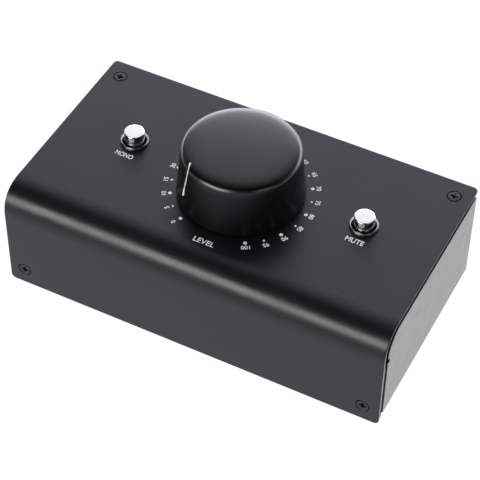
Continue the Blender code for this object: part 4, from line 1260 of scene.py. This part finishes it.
def makeOutput(side):
    look = socketLook
    node = side + "_output_shell"
    place = socketPlace(node)
    past = look["past"]
    shellFloor = look["shellEnd"] + look["shellFloor"]
    outline = [(look["shellHole"], look["shellEnd"]), (look["barrelRadius"], look["shellEnd"])]
    outline += mouthOutline()[::-1]
    outline += [(look["wellRadius"], shellFloor), (look["shellHole"], shellFloor)]
    shell = turnedPiece(side + "OutputShell", outline, closedRing=True)
    fuse(shell, addPlate("outputPlate"))
    keyHalf = look["keyWidth"] / 2
    reach = look["wellRadius"] + look["keyDepth"]
    for angle in (0, quarterTurn):
        slotLow = (look["shellHole"], -keyHalf, plateFace - look["keyLength"])
        slot = addBox("keyGroove", slotLow, (reach, keyHalf, plateFace + past))
        moveMesh(slot, turn=(0, 0, angle))
        cut(shell, slot)
    sinkPlateScrews(shell)
    breakEdges(shell)
    mountAtRear(shell, place, "case", "bright_steel", nickel, node)

    low = shellFloor + look["insertGap"]
    face = low + look["insertSheet"]
    disc = look["wellRadius"] - look["insertGap"]
    boss = look["shellHole"] - look["insertGap"]
    mouth = look["mouth"]
    outline = [(0, look["barrelEnd"]), (boss, look["barrelEnd"]), (boss, low), (disc, low)]
    outline += arcPoints((disc - mouth, face - mouth), mouth, 0, 90, look["mouthSteps"])
    outline.append((0, face))
    insert = turnedPiece(side + "OutputInsert", outline)
    radius, steps = look["pinRadius"], look["contactSteps"]
    collar = addRod("collar", radius + look["collar"], face - past, face + look["collar"] / 2, steps)
    drill = addRod("pinDrill", radius, look["barrelEnd"] - past, face + past, steps)
    repeatTool(insert, collar, contactSpots(look["pinRing"]), fuse)
    repeatTool(insert, drill, contactSpots(look["pinRing"]))
    breakEdges(insert)
    mountAtRear(insert, place, "case", "black_plastic", nylon, side + "_output_insert")

    nose, tip = look["pinNose"], look["pinTip"]
    outline = [(0, look["pinTail"]), (radius, look["pinTail"])]
    outline += arcPoints((radius - nose, tip - nose), nose, 0, 90, look["noseSteps"])
    outline.append((0, tip))
    pin = turnedPiece("pinModel", outline, look["pinSteps"])
    smooth(pin)
    for number, spot in enumerate(contactSpots(look["pinRing"]), start=1):
        copy = copyPiece(pin, f"{side}OutputPin_{number}", *spot)
        mountAtRear(copy, place, "case", "gold_plate", gold, f"{side}_output_pin_{number}")
    discard(pin)


for side in ("left", "right"):
    makeInput(side)
    makeLatch(side)
    makeOutput(side)
print("Sockets made")


# Printing: the dial's dots and numbers, and the words at the controls

printLook = {
    "ink": 0.03 * mm,  # thickness of the print over the cover
    "lift": 0.01 * mm,
    "curveSteps": 4,
    "dialMiddle": (0.15 * mm, 0),
    "dialRadius": 26.4 * mm,
    "bigDot": 0.7 * mm,
    "smallDot": 0.42 * mm,
    "dotSteps": 20,
    "numberRadius": 28.65 * mm,
    "zeroRadius": 29.5 * mm,
    "numberSize": 2.5 * mm,
    "numberWeight": 0.03 * mm,
    "numberStep": 5,
    "wordSize": 3.0 * mm,
    "wordHeight": 2.35 * mm,
    "wordWeight": 0.04 * mm,
    # word: middle and width on the cover
    "words": {
        "LEVEL": ((0, -29.2 * mm), 8.3 * mm),
        "MONO": ((-47.6 * mm, -3.5 * mm), 7.3 * mm),
        "MUTE": ((47.8 * mm, -3.6 * mm), 7.1 * mm),
    },
    "rearWords": {
        "left_output_shell": "OUTPUT L",
        "right_output_shell": "OUTPUT R",
        "left_input_socket": "INPUT L",
        "right_input_socket": "INPUT R",
    },
    "rearSize": 2.9 * mm,
    "rearWeight": 0.03 * mm,
    "rearDrop": 3.2 * mm,  # their middle below the tray's top
    "firstAngle": -150,  # degrees from the rear, clockwise
    "lastAngle": 150,
    "count": 21,
}
printHeight = printLook["lift"] + printLook["ink"] / 2


def addText(name, words, size, weight, fit=None):
    # the words as a thin flat mesh, with their middle at the origin
    deselectAll()
    bpy.ops.object.text_add(location=(0, 0, 0))
    text = bpy.context.object
    text.name = name
    text.data.body = words
    text.data.size = size
    text.data.align_x = "CENTER"
    text.data.align_y = "CENTER"
    text.data.offset = weight
    text.data.extrude = printLook["ink"] / 2
    text.data.resolution_u = printLook["curveSteps"]
    bpy.ops.object.convert(target="MESH")
    text = bpy.context.object
    corners = [Vector(corner) for corner in text.bound_box]
    middle = sum(corners, Vector()) / len(corners)
    moveMesh(text, (-middle.x, -middle.y, 0))
    if fit:  # stretched to that width and height
        text.scale = (fit[0] / text.dimensions.x, fit[1] / text.dimensions.y, 1)
        moveMesh(text)
    return text


def makeDial():
    look = printLook
    parts = []
    middle = Vector(look["dialMiddle"])
    low = coverTop + look["lift"]
    for mark in range(look["count"]):
        share = mark / (look["count"] - 1)
        angle = math.radians(look["firstAngle"] + (look["lastAngle"] - look["firstAngle"]) * share)
        outward = Vector((math.sin(angle), math.cos(angle)))
        radius = look["smallDot"] if mark % 2 else look["bigDot"]
        dot = addRod(f"dot_{mark}", radius, low, low + look["ink"], look["dotSteps"])
        place = middle + outward * look["dialRadius"]
        moveMesh(dot, (place.x, place.y, 0))
        value = str(mark * look["numberStep"])
        number = addText(f"number_{mark}", value, look["numberSize"], look["numberWeight"])
        place = middle + outward * (look["numberRadius"] if mark else look["zeroRadius"])
        moveMesh(number, (place.x, place.y, coverTop + printHeight), (0, 0, -angle))
        parts += [dot, number]
    finishPiece(joinAll("dialPrint", parts), "case", "white_paint", ink)


def makeWords():
    look = printLook
    for word, (place, width) in look["words"].items():
        fit = (width, look["wordHeight"])
        label = addText("label_" + word.lower(), word, look["wordSize"], look["wordWeight"], fit)
        moveMesh(label, (*place, coverTop + printHeight))
        finishPiece(label, "case", "white_paint", ink)


def makeRearWords():
    # over the middle of each socket, between its plate and the cover
    look = printLook
    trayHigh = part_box("tray")[1]
    panelFace = trayHigh.y - trayLook["rearRecess"]
    for node, word in look["rearWords"].items():
        label = addText("label_" + node, word, look["rearSize"], look["rearWeight"])
        place = (middleOf(node).x, panelFace + printHeight, trayHigh.z - look["rearDrop"])
        moveMesh(label, place, toRear)
        finishPiece(label, "case", "black_plastic", darkInk)


makeDial()
makeWords()
makeRearWords()
print("Printing made")


# Return springs under the buttons, each coiled to its node's height and given a mesh of its own

springLook = {"radius": 2.4 * mm, "wire": 0.2 * mm, "wireSides": 10, "turns": 4, "steps": 24}


def makeSprings():
    look = springLook
    for button in ("mono", "mute"):
        node = button + "_switch_spring"
        low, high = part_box(node)
        wire, sides, turns, steps = look["wire"], look["wireSides"], look["turns"], look["steps"]
        deselectAll()
        start = (look["radius"], 0, 0)
        bpy.ops.mesh.primitive_circle_add(vertices=sides, radius=wire, location=start, rotation=toFront)
        spring = nameNew(button + "ReturnSpring")
        pitch = (high.z - low.z - 2 * wire) / turns
        coil = {"screw_offset": pitch, "iterations": turns, "steps": steps, "render_steps": steps}
        modify(spring, "SCREW", axis="Z", **coil)
        editMode(spring)
        onAll(bpy.ops.mesh.fill_holes, sides=sides)
        onAll(bpy.ops.mesh.normals_make_consistent, inside=False)
        objectMode()
        middle = (low + high) / 2
        moveMesh(spring, (middle.x, middle.y, low.z + wire))
        smooth(spring)
        finishPiece(spring, "case", "bright_steel", nickel, node)
        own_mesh(spring)


makeSprings()
print("Springs made")


# The nodes that stay get their finish


def finishNodes():
    finishes = {
        "potentiometer": nickel,
        "potentiometer_shaft": nickel,
        "potentiometer_washer": nickel,
        "potentiometer_nut": nickel,
        "knob_grub_screw": oxide,
        "control_board": mask,
        "connector_board": mask,
        "flat_cable": ribbon,
    }
    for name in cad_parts:
        if name.startswith(("spacer_", "board_screw_")):
            finishes[name] = nickel
        if name.endswith(("_switch", "_plunger")):
            finishes[name] = nylon
    for name, material in finishes.items():
        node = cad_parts[name]
        node.data.materials.clear()
        node.data.materials.append(material)


finishNodes()
print("Inner nodes finished")


# Floor, camera and light

cameraLook = {
    "azimuth": math.radians(26.564),
    "elevation": math.radians(46.811),
    "roll": math.radians(0.859),
    "distance": 696.1 * mm,
    "aimRight": 0.05 * mm,
    "aimUp": 13.1 * mm,
    "aim": Vector((-0.2 * mm, 0, 2.2 * mm)),
    "lens": 134.6,
    "sensor": 36,
}


def addCamera():
    look = cameraLook
    az, el, roll = look["azimuth"], look["elevation"], look["roll"]
    back = Vector((math.sin(az) * math.cos(el), -math.cos(az) * math.cos(el), math.sin(el)))
    right = Vector((math.cos(az), math.sin(az), 0))
    up = back.cross(right)
    place = look["aim"] + back * look["distance"] + right * look["aimRight"] + up * look["aimUp"]
    rolledRight = right * math.cos(roll) + up * math.sin(roll)
    rolledUp = up * math.cos(roll) - right * math.sin(roll)
    turn = Matrix((rolledRight, rolledUp, back)).transposed().to_4x4()
    bpy.ops.object.camera_add()
    camera = bpy.context.object
    camera.name = "photoCamera"
    camera.matrix_world = Matrix.Translation(place) @ turn
    camera.data.lens = look["lens"]
    camera.data.sensor_width = look["sensor"]
    bpy.context.scene.camera = camera


floorLook = {
    "size": 6.0,
    "seen": 1.1,  # what the camera sees of it
    "near": 0.93,  # what reflections see of it, beside the object
    "far": 0.36,  # and in the room in front of it
    "fade": (-75 * mm, -165 * mm),  # where one turns into the other
    "glowShare": 0.9,  # the rest is lit, and keeps the object's shadow
    "tint": (0.99, 0.98, 1.06, 1),
}


def addFloor():
    look = floorLook
    deselectAll()
    bpy.ops.mesh.primitive_plane_add(size=look["size"])
    floor = nameNew("studioFloor")
    material = newMaterial("white studio floor", "f0f0f0", 0.9)
    tree, where = surfaceOf(material)
    parts = addNode(tree, "SeparateXYZ", links={"Vector": where})
    nearEnd, farEnd = look["fade"]
    fade = ranges(farEnd, nearEnd, look["far"], look["near"])
    mirrored = addNode(tree, "MapRange", fade, {"Value": parts.outputs["Y"]}).outputs["Result"]
    path = addNode(tree, "LightPath")
    kinds = ("Is Camera Ray", "Is Glossy Ray", "Is Transmission Ray")
    camera, glossy, through = (path.outputs[kind] for kind in kinds)
    seen = addNode(tree, "Mix", {"data_type": "FLOAT", 3: look["seen"]}, {0: camera, 2: mirrored})
    glow = addNode(tree, "Emission", {"Color": look["tint"]}, {"Strength": seen.outputs[0]})
    either = addNode(tree, "Math", {"operation": "MAXIMUM"}, {0: camera, 1: glossy})
    anyOf = addNode(tree, "Math", {"operation": "MAXIMUM"}, {0: either.outputs[0], 1: through})
    share = addNode(tree, "Math", {"operation": "MULTIPLY", 1: look["glowShare"]}, {0: anyOf.outputs[0]})
    lit = shaderOf(material).outputs[0]
    mix = addNode(tree, "MixShader", links={0: share.outputs[0], 1: lit, 2: glow.outputs[0]})
    tree.links.new(mix.outputs[0], tree.nodes["Material Output"].inputs["Surface"])
    floor.data.materials.append(material)


worldLook = {
    "strength": 4.0,
    "tint": (0.985, 0.97, 1.07),
    # degrees from the rear horizon over the top to the front horizon: brightness, share of strength
    "glow": {
        0: 1.6,
        14: 1.6,
        21: 1.0,
        28: 0.5,
        36: 0.35,
        44: 0.27,
        52: 0.25,
        60: 0.23,
        68: 0.18,
        76: 0.08,
        90: 0.015,
        135: 0.01,
        180: 0.1,
    },
    # shares of straight sideways between which the glow fades to what is beside it
    "right": (-0.15, 0.3),
    "left": (-0.46, -0.8),
    "beside": 0.15,
    # the low part in degrees, which only fades far to the right
    "low": (20, 28),
    "lowRight": (0.6, 0.85),
    "seen": 1.0,  # what the camera sees of it
}


def addWorld():
    look = worldLook
    sweep = 180  # degrees over which the ramp runs
    world = bpy.data.worlds.new("studio")
    bpy.context.scene.world = world
    world.use_nodes = True
    tree = world.node_tree
    background = tree.nodes["Background"]
    where = addNode(tree, "TexCoord").outputs["Generated"]
    parts = addNode(tree, "SeparateXYZ", links={"Vector": where})
    angle = addNode(tree, "Math", {"operation": "ARCTAN2"}, {0: parts.outputs["Z"], 1: parts.outputs["Y"]})
    share = addNode(tree, "Math", {"operation": "DIVIDE", 1: math.pi}, {0: angle.outputs[0]}).outputs[0]
    glow = []
    for degrees, level in look["glow"].items():
        glow.append((degrees / sweep, (*(level * part for part in look["tint"]), 1)))
    ramp = addNode(tree, "ValToRGB", links={"Fac": share}, stops=glow)
    tree.links.new(ramp.outputs["Color"], background.inputs["Color"])
    fades = {}
    for key in ("right", "left", "lowRight"):
        fade = ranges(*look[key], 1.0, look["beside"])
        fades[key] = addNode(tree, "MapRange", fade, {"Value": parts.outputs["X"]}).outputs["Result"]
    lowFade = ranges(look["low"][0] / sweep, look["low"][1] / sweep, 1.0, 0.0)
    low = addNode(tree, "MapRange", lowFade, {"Value": share}).outputs["Result"]
    across = addNode(tree, "Math", {"operation": "MULTIPLY"}, {0: fades["right"], 1: fades["left"]})
    below = addNode(tree, "Math", {"operation": "MULTIPLY"}, {0: low, 1: fades["lowRight"]})
    level = addNode(tree, "Math", {"operation": "MAXIMUM"}, {0: across.outputs[0], 1: below.outputs[0]})
    strength = addNode(tree, "Math", {"operation": "MULTIPLY", 1: look["strength"]}, {0: level.outputs[0]})
    tree.links.new(strength.outputs[0], background.inputs["Strength"])
    white = addNode(tree, "Background", {"Color": (1, 1, 1, 1), "Strength": look["seen"]})
    camera = addNode(tree, "LightPath").outputs["Is Camera Ray"]
    mix = addNode(tree, "MixShader", links={0: camera, 1: background.outputs[0], 2: white.outputs[0]})
    tree.links.new(mix.outputs[0], tree.nodes["World Output"].inputs["Surface"])


lightLook = {
    "aim": 40 * mm,  # height that the panels look at
    "distance": 1.3,
    # panel: azimuth, elevation, width, height, radiance and tint
    "frontPanel": (-108, 18, 0.95, 0.62, 6.9, (0.99, 1, 0.95)),
    "sidePanel": (-26, 20, 0.5, 0.4, 1.8, (1, 1, 1)),
    "overheadFill": (90, 89, 1.6, 1.6, 0.9, (1, 1, 1)),
}


def addPanel(name):
    # a soft light panel that looks at the object from its direction
    azimuth, elevation, width, height, radiance, tint = lightLook[name]
    az, el = math.radians(azimuth), math.radians(elevation)
    towards = Vector((math.cos(el) * math.cos(az), math.cos(el) * math.sin(az), math.sin(el)))
    place = Vector((0, 0, lightLook["aim"])) + towards * lightLook["distance"]
    bpy.ops.object.light_add(type="AREA", location=place)
    panel = bpy.context.object
    panel.name = name
    panel.rotation_euler = towards.to_track_quat("Z", "Y").to_euler()
    panel.data.shape = "RECTANGLE"
    panel.data.size = width
    panel.data.size_y = height
    panel.data.energy = radiance * math.pi * width * height
    panel.data.color = tint
    return panel


def addLights():
    addPanel("frontPanel")
    addPanel("sidePanel")
    overhead = addPanel("overheadFill")
    overhead.visible_glossy = False  # it lights the object without a mirror image on it


addCamera()
addFloor()
addWorld()
addLights()
bpy.context.scene.view_settings.view_transform = "Standard"
print("Studio made")
